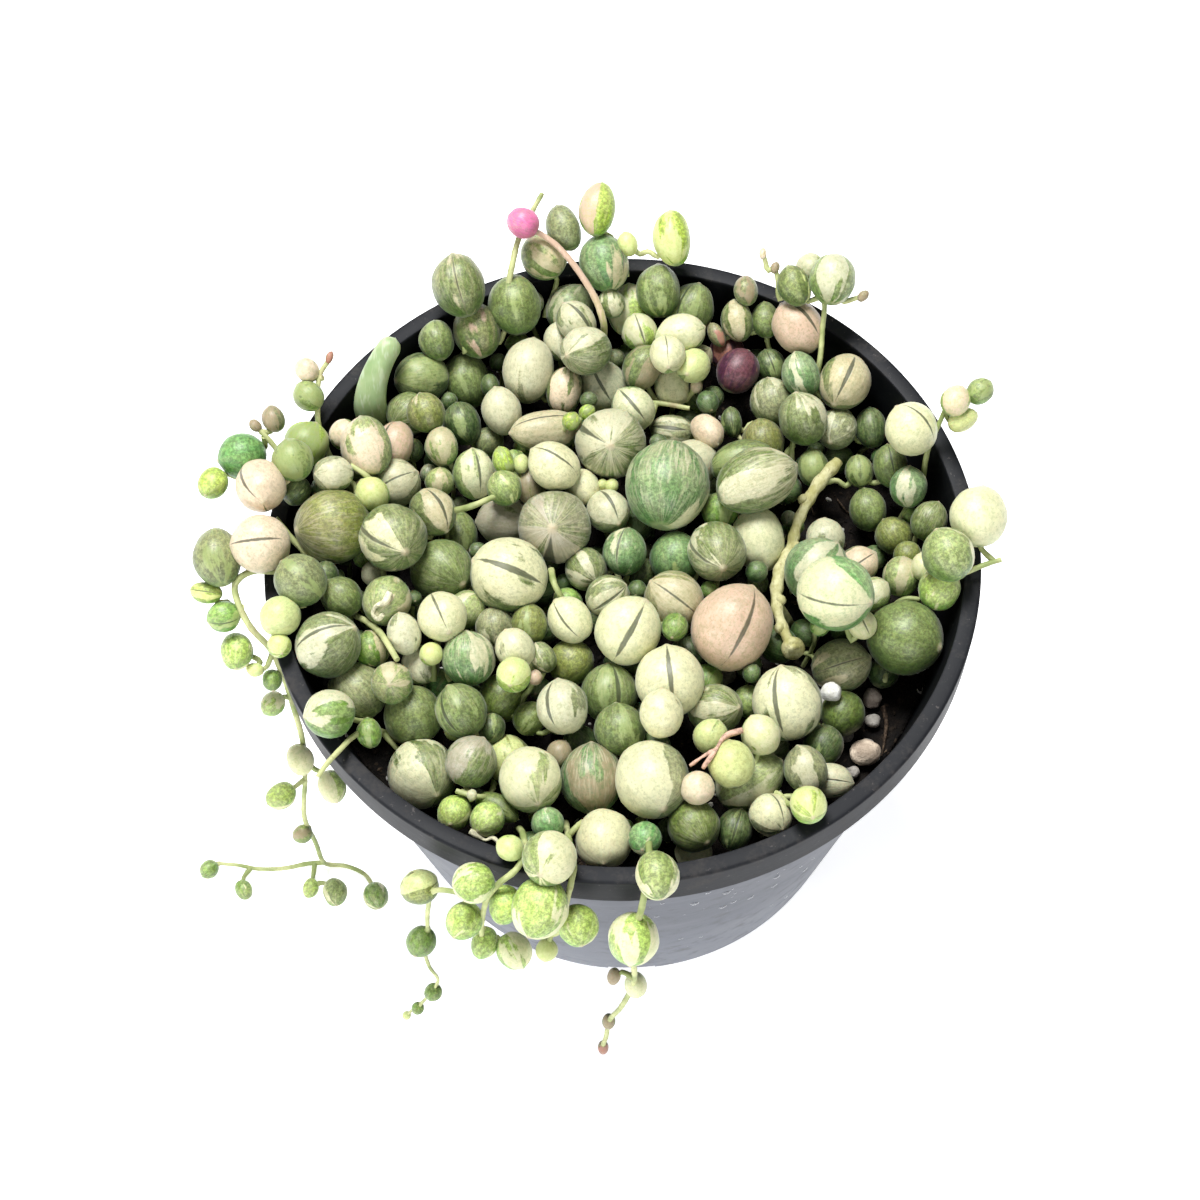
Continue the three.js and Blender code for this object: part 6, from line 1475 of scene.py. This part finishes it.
def pearl_values(pearl, draw):
    """What the tree needs to grow and colour one pearl, in the order of VALUES."""
    look, *given = pearl["look"].split()
    given = [float(t) for t in given]
    if given:
        skin, pale, share, streak = SKINS[look[0]], PALES[look[1]], given[0] / 100, 0
    else:
        skin, pale, share, streak = LOOKS[look]
    luck = [next(draw) for _ in range(9)]
    width, length = pearl["width"], pearl["length"]
    spread = 0.3 if given else 1
    tint = 1 + spread * (0.36 * luck[0] - 0.18)
    warm = (luck[1] - 0.5) * 0.16 * spread
    skin = tuple(c * tint * (1 + f * warm) for c, f in zip(skin, (1, 0.2, -1)))
    bleach = 1 + spread * (0.2 * luck[2] - 0.1)
    pale = tuple(c * bleach * (1 + f * warm) for c, f in zip(pale, (0.6, 0, -1)))
    if given:
        streak, slit, turn, lean = given[1:] + USUAL[len(given) - 1:]
        slit, streak = slit / 100, streak / 100
    else:
        share = min(max(share + 0.34 * (luck[3] - 0.5), 0.05), 1.1)
        slit = 0 if width < SMALL or look == "d" or luck[4] < 0.35 else 0.05 + 0.1 * luck[4] ** 2
        turn, lean = (luck[7] - 0.5) * 150, 0
        streak *= 0.5 + luck[8]
    tip = Matrix.Rotation(math.radians(lean), 3, FACING) @ Vector(pearl["tip"])
    half = width / 2
    size = np.array((half, half, half + 0.7 * (length / 2 - half))) * PLUMP * MM
    side = np.cross(tip, (luck[5] - 0.5, luck[6] - 0.5, 0.6))
    bend = side * (0.05 * length if length / width > 1.2 else 0.02 * length) * MM
    return (pearl_turn(tip, math.radians(turn)), size, (*skin, 1), (*pale, 1), (share, slit, streak), bend,
            10 * luck[0] + 3 * luck[5], width * MM)


def make_strand(name, strand_pearls, lines, tree, draw, sides=PEARL_SIDES, rings=PEARL_RINGS):
    """A strand from its pearls and its stems' lines, each line as (points, radius at start, at end)."""
    columns = zip(*[pearl_values(pearl, draw) for pearl in strand_pearls])
    vertices = [pearl["at"] for pearl in strand_pearls]
    edges, thick, is_stem = [], [0] * len(vertices), [0] * len(vertices)
    for points, first, last in lines:
        start = len(vertices)
        vertices += list(points)
        edges += [(start + k, start + k + 1) for k in range(len(points) - 1)]
        is_stem += [1] * len(points)
        for k in range(len(points)):
            node = 0.1 * max(0, math.sin(k * 1.9 + start)) ** 3
            thick.append((first + (last - first) * k / (len(points) - 1)) * (1 + node) * MM)
    mesh = bpy.data.meshes.new(name)
    mesh.from_pydata((np.array(vertices) * MM).tolist(), edges, [])
    for (key, kind), column in zip(VALUES.items(), columns):
        size, label = SIZES[kind]
        filled = np.zeros((len(vertices), size))
        filled[:len(column)] = np.array(column, float).reshape(-1, size)
        mesh.attributes.new(key, kind, "POINT").data.foreach_set(label, filled.ravel())
    for key, value in (("thick", thick), ("is_stem", is_stem)):
        mesh.attributes.new(key, "FLOAT", "POINT").data.foreach_set("value", value)
    piece = add_piece(name, mesh)
    grow = piece.modifiers.new("grow", "NODES")
    grow.node_group = tree
    for socket in tree.interface.items_tree:
        if socket.name in ("Pearl sides", "Pearl rings"):
            grow[socket.identifier] = sides if socket.name == "Pearl sides" else rings
    settle(piece)
    return piece


skin = pearl_skin()
tree, flower_tree = strand_tree(skin, stem_skin()), strand_tree(skin, stalk_skin())
draw = random_source(90210)
at_pearl = {tuple(pearl["at"]): pearl for pearl in pearls}
for name in owners:
    lines = [(smooth_line(stem["points"]), *(stem["radius"] * share for share in STEM_TAPER))
             for stem in stems if stem["owner"] == name]
    lines += [(stalk_line(pearl, way, at_pearl.get(tuple(target))), *STALK_RADII)
              for pearl, target, way in links if pearl["owner"] == name and len(way) > 1]
    own_pearls = [pearl for pearl in pearls if pearl["owner"] == name]
    strand = make_strand("fine_" + name, own_pearls, lines, flower_tree if name == "flower" else tree, draw)
    fit(strand, name)


# ---------------------------------------------------------------------------------------------
# Shaded pearls. Young and starved leaves on short side stems, low in the heap between the others:
# small, dark green, and mostly hidden; their dark green is partly painted shade. They are the plant's own,
# and too small for the solids.
# ---------------------------------------------------------------------------------------------
LOW_TRIES = 9000
LOW_PEARLS = 170
LOW_ROOM = 0.05
LOW_RING = 45
LOW_SIDES, LOW_RINGS = 16, 11
# Bare round the white grain too: x, y and radius
LOW_BARE = BARE + [(28.6, -20, 5)]


def find_foot(at):
    """The nearest free place in the soil for a thin stem, or nothing."""
    for ring in range(5):
        for turn in CLOCK:
            a = turn + ring
            foot = at + np.array((ring * math.cos(a), ring * math.sin(a), 0))
            foot[2] = SOIL_TOP - 0.5
            if obstacles.clear(at, foot, 0.2, "low") and math.hypot(foot[0], foot[1]) < LOW_RING + 1:
                return foot
    return None


def grow_low_pearls():
    draw = random_source(55117)
    low, lines = [], []
    for _ in range(LOW_TRIES):
        if len(low) == LOW_PEARLS:
            break
        a, out = next(draw) * 2 * math.pi, math.sqrt(next(draw)) * LOW_RING
        width = 2.2 + 2.6 * next(draw)
        up = width / 2 + 0.6 + 10 * next(draw)
        tip = towards(next(draw) * 360, next(draw) * 50)
        # Painted shade, in part: most of these pearls get the dark d look
        look = "dddgb"[int(next(draw) * 5)]
        at = np.array((math.cos(a) * out, math.sin(a) * out, SOIL_TOP + up))
        if bare(at, LOW_BARE) or obstacles.crowded(at, width / 2, LOW_ROOM):
            continue
        foot = None if np.any(push_from_pot(at[None], np.array([width / 2]))) else find_foot(at)
        if foot is None:
            continue
        low.append({"at": at, "tip": tip, "width": width, "length": width * SLIM, "look": look})
        obstacles.put(at, width / 2, "low")
        obstacles.put_way([at, foot], 0.3, "low")
        middle = (at + foot) / 2 + np.array((0.4, 0.3, 0))
        lines.append((smooth_line([at - tip * width * 0.4, middle, foot]), 0.3, 0.38))
    return low, lines


shaded = make_strand("shaded_pearls", *grow_low_pearls(), tree, random_source(777), LOW_SIDES, LOW_RINGS)
fit(shaded)


# ---------------------------------------------------------------------------------------------
# Youngest leaves. The thread-thin end of the stem that hangs at the front left, with its last
# three leaves, one to three millimetres across and still pale, and bare stems between the pearls.
# ---------------------------------------------------------------------------------------------
# A leaf: its true place, width, the way its tip points, and its look
YOUNG_LEAVES = [
    ((-30.4, -53, 34.8), 2.6, (-0.5, -0.5, -0.7), "gy 45 25 0 180"),
    ((-33.5, -53, 27), 1.9, (-0.4, -0.4, -0.8), "gy 35 25 0 180"),
    ((-35.6, -53, 23.4), 1.3, (-0.6, -0.2, -0.7), "ly 80"),
]
YOUNG_STEM = [
    (-30.7, -50.8, 49.6), (-30.2, -52, 44), (-29.4, -52.2, 38), (-31.6, -52.4, 31), (-34.4, -52.6, 25.4),
]
# Points as seen, and height over the rim
BARE_STEMS = [
    [(-52, 8.5, 3.4), (-49.5, 5.2, 1.5), (-46, 1, -1)],
    [(-10.5, -1.5, -1), (-10, -4, 0.2), (-8.8, -6.5, -1.5)],
    [(-25.5, 9, 0), (-22.5, 9.8, 2.2), (-19, 11.4, 1.5)],
    [(-37, 13.8, 2), (-39, 16.2, 4), (-41, 17.6, 4.5)],
    [(-39.2, -8.4, -2.5), (-37.4, -9.5, -1.2), (-35.6, -11.2, 0.1), (-34.3, -13.3, 1.5), (-32.9, -15.8, 2.2)],
]
YOUNG_SIDES, YOUNG_RINGS = 20, 14

young = [
    {"at": np.array(at), "tip": np.array(Vector(tip).normalized()), "width": width, "length": width * 1.1,
     "look": look}
    for at, width, tip, look in YOUNG_LEAVES
]
young_lines = [(smooth_line(YOUNG_STEM), 0.3, 0.16)]
young_lines += [(smooth_line([YOUNG_STEM[k + 2], leaf["at"]]), 0.2, 0.25) for k, leaf in enumerate(young)]
young_lines += [(smooth_line([seen(*at) for at in route]), 0.5, 0.42) for route in BARE_STEMS]
draw = random_source(31)
youngest = make_strand("youngest_leaves", young, young_lines, tree, draw, YOUNG_SIDES, YOUNG_RINGS)
fit(youngest)


# ---------------------------------------------------------------------------------------------
# Long leaf. One long pale leaf that grows from the soil at the back left and leans on the rim,
# round in section, waxy, and translucent towards its blunt tip.
# ---------------------------------------------------------------------------------------------
LEAF_RINGS = 60
LEAF_SIDES = 24


def leaf_skin():
    w = Finish("long_leaf_skin", Specular_IOR_Level=0.45, Subsurface_Weight=0.15, Subsurface_Scale=0.0015)
    streak = w.grain(1600, 2, 0.6, (1, 0.16, 0.3))
    cloud = w.grain(180, 3, 0.5)
    color = w.mix(w.step(cloud, 0.35, 0.65), (0.27, 0.38, 0.17), (0.42, 0.52, 0.29))
    color = w.over(color, w.step(streak, 0.5, 0.65), 0.5, (0.56, 0.62, 0.45))
    return w.dress(color, w.line(cloud, 0.25, 0.3), streak, 0.3, 0.0002)


def spindle(name, route, radius_at, sides, material):
    """A closed round form along a route, with its own radius at each step."""
    vertices, faces = [], []
    side = np.cross(route[1] - route[0], (0, 0, 1.0))
    for k, at in enumerate(route):
        aim = route[min(k + 1, len(route) - 1)] - route[max(k - 1, 0)]
        aim /= np.linalg.norm(aim)
        side = side - aim * (side @ aim)
        side /= np.linalg.norm(side)
        across = np.cross(aim, side)
        r = max(radius_at(k / (len(route) - 1)), 0.02)
        for i in range(sides):
            a = 2 * math.pi * i / sides
            vertices.append(at + r * (math.cos(a) * side + math.sin(a) * across))
    for k in range(len(route) - 1):
        for i in range(sides):
            n = (i + 1) % sides
            faces.append((k * sides + i, k * sides + n, (k + 1) * sides + n, (k + 1) * sides + i))
    faces.append(tuple(reversed(range(sides))))
    last = (len(route) - 1) * sides
    faces.append(tuple(range(last, last + sides)))
    return mesh_piece(name, vertices, faces, material)


def smoothstep(t, low, high):
    t = min(max((t - low) / (high - low), 0), 1)
    return t * t * (3 - 2 * t)


def leaf_radius(t):
    full = STEM_RADIUS + (0.62 * LEAF_WIDTH - STEM_RADIUS) * smoothstep(t, 0.12, 0.45)
    full *= 1 - 0.3 * smoothstep(t, 0.5, 0.95)
    return full * math.sqrt(max(1 - max((t - 0.93) / 0.07, 0) ** 2, 0))


leaf_points = next(stem["points"] for stem in stems if stem["owner"] == "long_leaf")
leaf = spindle("fine_long_leaf", Curve(leaf_points).even(LEAF_RINGS), leaf_radius, LEAF_SIDES, leaf_skin())
fit(leaf, "long_leaf")


# ---------------------------------------------------------------------------------------------
# Cut stem. An old bare stem that lies over the heap, pale and woody, with knobs where leaves
# fell off, cut across at its near end with pruning scissors: the cut has dried to a pale disc.
# ---------------------------------------------------------------------------------------------
CUT_END_RADIUS = 1.7
CUT_END_LENGTH = 2.2
# A knob: the point of the stem that it stands on, and the way it points round from +X
CUT_KNOBS = [(2, 150), (4, 340), (6, 30), (7, 160)]
KNOB_RADIUS = 0.85
KNOB_LENGTH = 1.5


def old_bark():
    w = Finish("old_stem_bark", Specular_IOR_Level=0.3)
    cloud = w.grain(420, 4, 0.6)
    fine = w.grain(2600, 2, 0.6, (1, 0.3, 1))
    color = w.mix(w.step(cloud, 0.35, 0.65), (0.36, 0.34, 0.13), (0.56, 0.54, 0.3))
    color = w.over(color, w.step(fine, 0.58, 0.7), 0.6, (0.26, 0.19, 0.1))
    return w.dress(color, w.line(fine, 0.25, 0.55), w.math("ADD", cloud, fine), 0.6, 0.0003)


def knotty(t):
    return CUT_RADIUS * (0.9 + 0.22 * abs(math.sin(t * 34)) ** 3 + 0.12 * math.sin(t * 13))


def disc_radius(t):
    if t < 0.85:
        return CUT_RADIUS + (CUT_END_RADIUS - CUT_RADIUS) * smoothstep(t, 0.0, 0.55)
    return CUT_END_RADIUS * (1 - 0.12 * smoothstep(t, 0.85, 1))


def knob_radius(t):
    return KNOB_RADIUS * math.sqrt(max(1 - (2 * t - 1) ** 2, 0))


def joined(name, pieces):
    with bpy.context.temp_override(active_object=pieces[0], selected_editable_objects=pieces):
        bpy.ops.object.join()
    pieces[0].name = name
    return pieces[0]


def make_cut_stem():
    material = old_bark()
    route = [seen(*point) for point in CUT_STEM]
    body = spindle("fine_cut_stem", Curve(route).even(120), knotty, 14, material)
    foot = [(*CUT_ROOT, SOIL_TOP - ROOT_DEPTH), (*CUT_ROOT, SOIL_TOP + 1), route[CUT_FOOT]]
    bark = [body, spindle("cut_stub", Curve(foot).even(12), lambda t: CUT_RADIUS * 0.85, 10, material)]
    end, aim = route[-1], route[-1] - route[-2]
    aim /= np.linalg.norm(aim)
    view = (EYE - end) / np.linalg.norm(EYE - end)
    face = (view + aim) / np.linalg.norm(view + aim)
    start = end - face * CUT_END_LENGTH
    disc = np.array([start + (end - start) * k / 14 for k in range(15)])
    bark.append(spindle("cut_disc", disc, disc_radius, 24, material))
    for index, turn in CUT_KNOBS:
        tip = towards(turn, 30)
        at = route[index] + tip * CUT_RADIUS * 0.6
        knob = np.array([at + tip * KNOB_LENGTH * (k / 8 - 0.3) for k in range(9)])
        bark.append(spindle("cut_knob", knob, knob_radius, 12, material))
    return joined("fine_cut_stem", bark)


fit(make_cut_stem(), "cut_stem")


# ---------------------------------------------------------------------------------------------
# Bits on the soil. Crumbs of peat and bark, and grains of white perlite, lying loose on the top
# of the mix between the stems.
# ---------------------------------------------------------------------------------------------
CRUMBS = 2600
PERLITE_GRAINS = 110


def scatter_tree(material, count, smallest, largest, flat, seed, faceting):
    w, given = begin_tree("soil_bits", {
        "Count": float(count), "Smallest": smallest * MM, "Largest": largest * MM, "Flatness": flat,
        "Seed": seed})
    at = w.geo("InputPosition")
    top = w.math("GREATER_THAN", w.split(at)[2], (SOIL_TOP - 2) * MM)
    ground = math.pi * (mouth_radius(SOIL_TOP) * MM) ** 2
    dense = w.math("DIVIDE", given["Count"], ground)
    dots = w.geo("DistributePointsOnFaces", Mesh=given["Geometry"], Selection=top, Density=dense,
                 Seed=given["Seed"])

    def luck(low, high):
        return w.add("FunctionNodeRandomValue", {"Min": low, "Max": high, "Seed": given["Seed"]},
                     data_type="FLOAT_VECTOR")

    bit = w.geo("MeshIcoSphere", Radius=0.5, Subdivisions=faceting)
    draw_size = luck((0, 0, 0), (1, 1, 1))
    span = w.minus(given["Largest"], given["Smallest"])
    size = w.scaled_on(w.vector("MULTIPLY", draw_size, draw_size), span, w.xyz(*[given["Smallest"]] * 3))
    size = w.vector("MULTIPLY", size, w.xyz(1, 1, given["Flatness"]))
    turn = luck((-0.5, -0.5, 0), (0.5, 0.5, 6.28))
    bits = w.geo("InstanceOnPoints", Points=dots, Instance=bit, Rotation=turn, Scale=size)
    bits = w.geo("RealizeInstances", Geometry=bits)
    rough = w.vector("SUBTRACT", w.noise(w.scale(at, 1100), 1, 2, 0.6, out=1), (0.5, 0.5, 0.5))
    jolt = w.scale(rough, w.times(given["Largest"], 0.45))
    bits = w.geo("SetPosition", Geometry=bits, Offset=jolt)
    return end_tree(w, w.geo("SetMaterial", Geometry=bits, Material=material))


def bark_bits():
    w = Finish("bark_bits", Specular_IOR_Level=0.25)
    which = w.grain(330, 2, 0.6)
    fine = w.grain(2400, 3, 0.6)
    color = w.mix(w.step(which, 0.4, 0.6), (0.006, 0.0045, 0.0035), (0.03, 0.02, 0.012))
    color = w.mix(w.step(which, 0.64, 0.7), color, (0.1, 0.07, 0.045))
    color = w.over(color, w.step(fine, 0.5, 0.7), 0.5, (0.02, 0.013, 0.01))
    return w.dress(color, w.line(fine, 0.25, 0.7), fine, 0.8, 0.0003)


def make_bits(name, tree):
    piece = add_piece(name, soil.data.copy())
    piece.modifiers.new("scatter", "NODES").node_group = tree
    settle(piece)
    return piece


fit(make_bits("peat_crumbs", scatter_tree(bark_bits(), CRUMBS, 0.35, 1.7, 0.6, 3, 1)))
grain_finish = stone_finish("perlite_grain", (0.84, 0.83, 0.78), (0.6, 0.58, 0.52))
fit(make_bits("perlite_grains", scatter_tree(grain_finish, PERLITE_GRAINS, 0.4, 1.5, 0.8, 11, 2)))


# ---------------------------------------------------------------------------------------------
# Root fibres. Dead roots and fibres of the old root ball that stick out of the mix where it is
# bare: one thick brown root at the front right, and thin curled ones round it.
# ---------------------------------------------------------------------------------------------
DEAD_ROOT = [(38, -20.5), (38.3, -23), (37.9, -25.5), (37.2, -28.5)]
FIBRES = 26
FIBRE_POINTS = 5
FIBRE_RING = 46


def root_skin():
    w = Finish("root_skin", Specular_IOR_Level=0.2)
    fine = w.grain(1500, 3, 0.7)
    color = w.mix(w.step(fine, 0.4, 0.65), (0.03, 0.019, 0.012), (0.13, 0.09, 0.06))
    return w.dress(color, w.line(fine, 0.3, 0.6), fine, 0.8, 0.0003)


def make_roots():
    draw = random_source(4410)
    finish = root_skin()
    routes = [([(x, y, soil_height(x, y) + 0.25) for x, y in DEAD_ROOT], 0.34)]
    for k in range(FIBRES):
        x0, y0, _ = BARE[k % 3]
        x, y, way = x0 + 9 * (next(draw) - 0.5), y0 + 13 * (next(draw) - 0.5), 6.28 * next(draw)
        route = []
        for _ in range(FIBRE_POINTS):
            if math.hypot(x, y) < FIBRE_RING:
                route.append((x, y, soil_height(x, y) + 0.1 + 0.7 * next(draw)))
            way += 1.4 * (next(draw) - 0.5)
            x, y = x + 1.5 * math.cos(way), y + 1.5 * math.sin(way)
        if len(route) == FIBRE_POINTS:
            routes.append((route, 0.1 + 0.08 * next(draw)))
    return joined("root_fibres", [
        spindle("root", Curve(route).even(24), lambda t, r=r: r * (1 - 0.75 * t * t), 7, finish)
        for route, r in routes])


fit(make_roots())


# ---------------------------------------------------------------------------------------------
# Dried scraps. Pink and cream stalks of spent flowers and curls of dead leaf skin, which lie
# where they dried: between the yellow rings, on a left pearl and at the front.
# ---------------------------------------------------------------------------------------------
# A scrap: its radius, and its route as seen, with height over the rim
SCRAPS = [
    (0.38, [(16.5, -28.3, 1.1), (14.2, -29.1, 1.5), (12.4, -31.6, 2.8), (10.7, -34, 1)]),
    (0.3, [(12.6, -31.3, 2.7), (10.8, -32.2, 1.6), (8.9, -33.6, 0.4)]),
    (0.42, [(-34.3, -4.6, 4.3), (-35, -6.2, 3.9), (-36.3, -6.9, 3.4), (-36.7, -8.2, 2.3), (-35.9, -9, 1.7),
            (-35.2, -8.3, 2.6)]),
    (0.36, [(-22, -42.7, -3.2), (-20.9, -43.5, -3.8), (-19.8, -44.1, -4.2), (-18.9, -43.8, -4.2),
            (-18, -44.5, -4.4)]),
]


def dry_skin():
    w = Finish("dry_skin", Specular_IOR_Level=0.3)
    fine = w.grain(1300, 3, 0.6)
    color = w.mix(w.step(w.split(w.place)[0], 0, 0.01), (0.78, 0.75, 0.52), (0.7, 0.45, 0.34))
    color = w.mix(w.step(fine, 0.55, 0.35), color, w.scale(color, 0.55))
    return w.dress(color, w.line(fine, 0.3, 0.5), fine, 0.6, 0.0003)


dry = dry_skin()
scraps = [
    spindle("scrap", Curve([seen(*at) for at in route]).even(30),
            lambda t, r=r: r * (1.15 - 0.5 * t + 0.25 * math.sin(9 * t)), 8, dry)
    for r, route in SCRAPS
]
fit(joined("dried_scraps", scraps))


# ---------------------------------------------------------------------------------------------
# Water drops. The pot has just been sprayed: small clear drops cling to the front right of its
# outer wall below the rim band.
# ---------------------------------------------------------------------------------------------
DROPS = 150
DROPS_WALL = 0.0015
# The wet part of the wall: its first and last angle round from +X, and its lowest and highest edge
WET = (-88, -48, 14, 62)


def clear_water():
    w = Finish("clear_water", IOR=1.33, Coat_Weight=0.6, Coat_Roughness=0.04)
    fine = w.grain(900, 2, 0.5)
    w.put(w.sockets["Transmission Weight"], w.line(fine, 0.1, 0.5))
    color = w.mix(fine, (0.2, 0.21, 0.24), (0.34, 0.36, 0.4))
    return w.dress(color, w.line(fine, 0.08, 0.02), fine, 0.1, 0.0002)


def drop_tree(material):
    """Flattened beads spread over the wall, facing outwards."""
    w, given = begin_tree("water_drops", {
        "Drops a square metre": DROPS / DROPS_WALL, "Smallest": 0.35 * MM, "Largest": 1.5 * MM, "Seed": 5})
    dots = w.geo("DistributePointsOnFaces", Mesh=given["Geometry"], Density=given["Drops a square metre"],
                 Seed=given["Seed"])
    chance = {"Min": 0, "Max": 1, "Seed": given["Seed"]}
    luck = w.add("FunctionNodeRandomValue", chance, out=1, data_type="FLOAT")
    span = w.minus(given["Largest"], given["Smallest"])
    size = w.scale(w.xyz(1, 1, 0.5), w.line(w.math("POWER", luck, 4), span, given["Smallest"]))
    bead = w.geo("MeshIcoSphere", Radius=0.5, Subdivisions=2)
    beads = w.geo("InstanceOnPoints", Points=dots, Instance=bead, Scale=size, Rotation=dots.node.outputs[2])
    beads = w.geo("RealizeInstances", Geometry=beads)
    beads = w.geo("SetShadeSmooth", Geometry=beads)
    return end_tree(w, w.geo("SetMaterial", Geometry=beads, Material=material))


def make_drops():
    first, last, low, high = WET
    turns, heights = np.radians(np.arange(first, last + 1, 2)), np.arange(low, high + 1, 4)
    across = len(turns)
    vertices = [((mouth_radius(z) + WALL) * math.cos(a), (mouth_radius(z) + WALL) * math.sin(a), z)
                for z in heights for a in turns]
    faces = [(k * across + i, k * across + i + 1, (k + 1) * across + i + 1, (k + 1) * across + i)
             for k in range(len(heights) - 1) for i in range(across - 1)]
    drops = mesh_piece("water_drops", vertices, faces, None)
    drops.modifiers.new("spread", "NODES").node_group = drop_tree(clear_water())
    settle(drops)
    return drops


fit(make_drops())


# ---------------------------------------------------------------------------------------------
# Floor, light and camera. The pot stands on a plain white surface in soft, even studio light,
# and is seen from in front, looking steeply down.
# ---------------------------------------------------------------------------------------------
FLOOR_HALF = 1500
FLOOR_DROP = 0.05
WORLD_LIGHT = 0.19
SENSOR = 36
LENS = 64.4
AIM = Vector((-0.0033, -0.0089, 0.078))
CAMERA_AT = Vector((0, -0.1561, 0.3516))
ROLL = math.radians(-2.5)


def white_surface():
    w = Finish("white_surface", Specular_IOR_Level=0.2, Roughness=0.7, Emission_Color=(0.97, 0.98, 1, 1),
               Emission_Strength=0.66)
    color = w.mix(w.grain(9, 3, 0.5), (0.86, 0.865, 0.875), (0.9, 0.9, 0.9))
    w.put(w.sockets["Base Color"], color)
    return w.material


def soft_light(name, at, aim, size, power):
    light = bpy.data.lights.new(name, "AREA")
    light.shape = "DISK"
    light.size = size
    light.energy = power
    lamp = add_piece(name, light)
    lamp.location = at
    lamp.rotation_euler = (Vector(at) - Vector(aim)).to_track_quat("Z", "Y").to_euler()


corners = [(x * FLOOR_HALF, y * FLOOR_HALF, -FLOOR_DROP) for x, y in ((-1, -1), (1, -1), (1, 1), (-1, 1))]
mesh_piece("white_floor", corners, [(0, 1, 2, 3)], white_surface())
soft_light("light_above", (-0.12, 0.3, 0.9), (0, 0, 0.05), 0.4, 12.8)
soft_light("light_front", (0.1, -0.95, 0.42), (0, -0.05, 0.04), 0.7, 6)
soft_light("light_left", (-0.75, -0.45, 0.3), (-0.02, -0.03, 0.06), 0.5, 4)
world = bpy.data.worlds.new("studio")
world.use_nodes = True
background = world.node_tree.nodes["Background"].inputs
background["Color"].default_value = (1, 1, 1, 1)
background["Strength"].default_value = WORLD_LIGHT
bpy.context.scene.world = world
bpy.context.scene.view_settings.view_transform = "Standard"

lens = bpy.data.cameras.new("photo_view")
lens.sensor_width = SENSOR
lens.lens = LENS
lens.clip_start = 0.01
camera = add_piece("photo_view", lens)
forward = (AIM - CAMERA_AT).normalized()
right = forward.cross(Vector((0, 0, 1))).normalized()
upward = right.cross(forward)
across = math.cos(ROLL) * right + math.sin(ROLL) * upward
over = -math.sin(ROLL) * right + math.cos(ROLL) * upward
camera.matrix_world = Matrix.Translation(CAMERA_AT) @ Matrix((across, over, -forward)).transposed().to_4x4()
bpy.context.scene.camera = camera
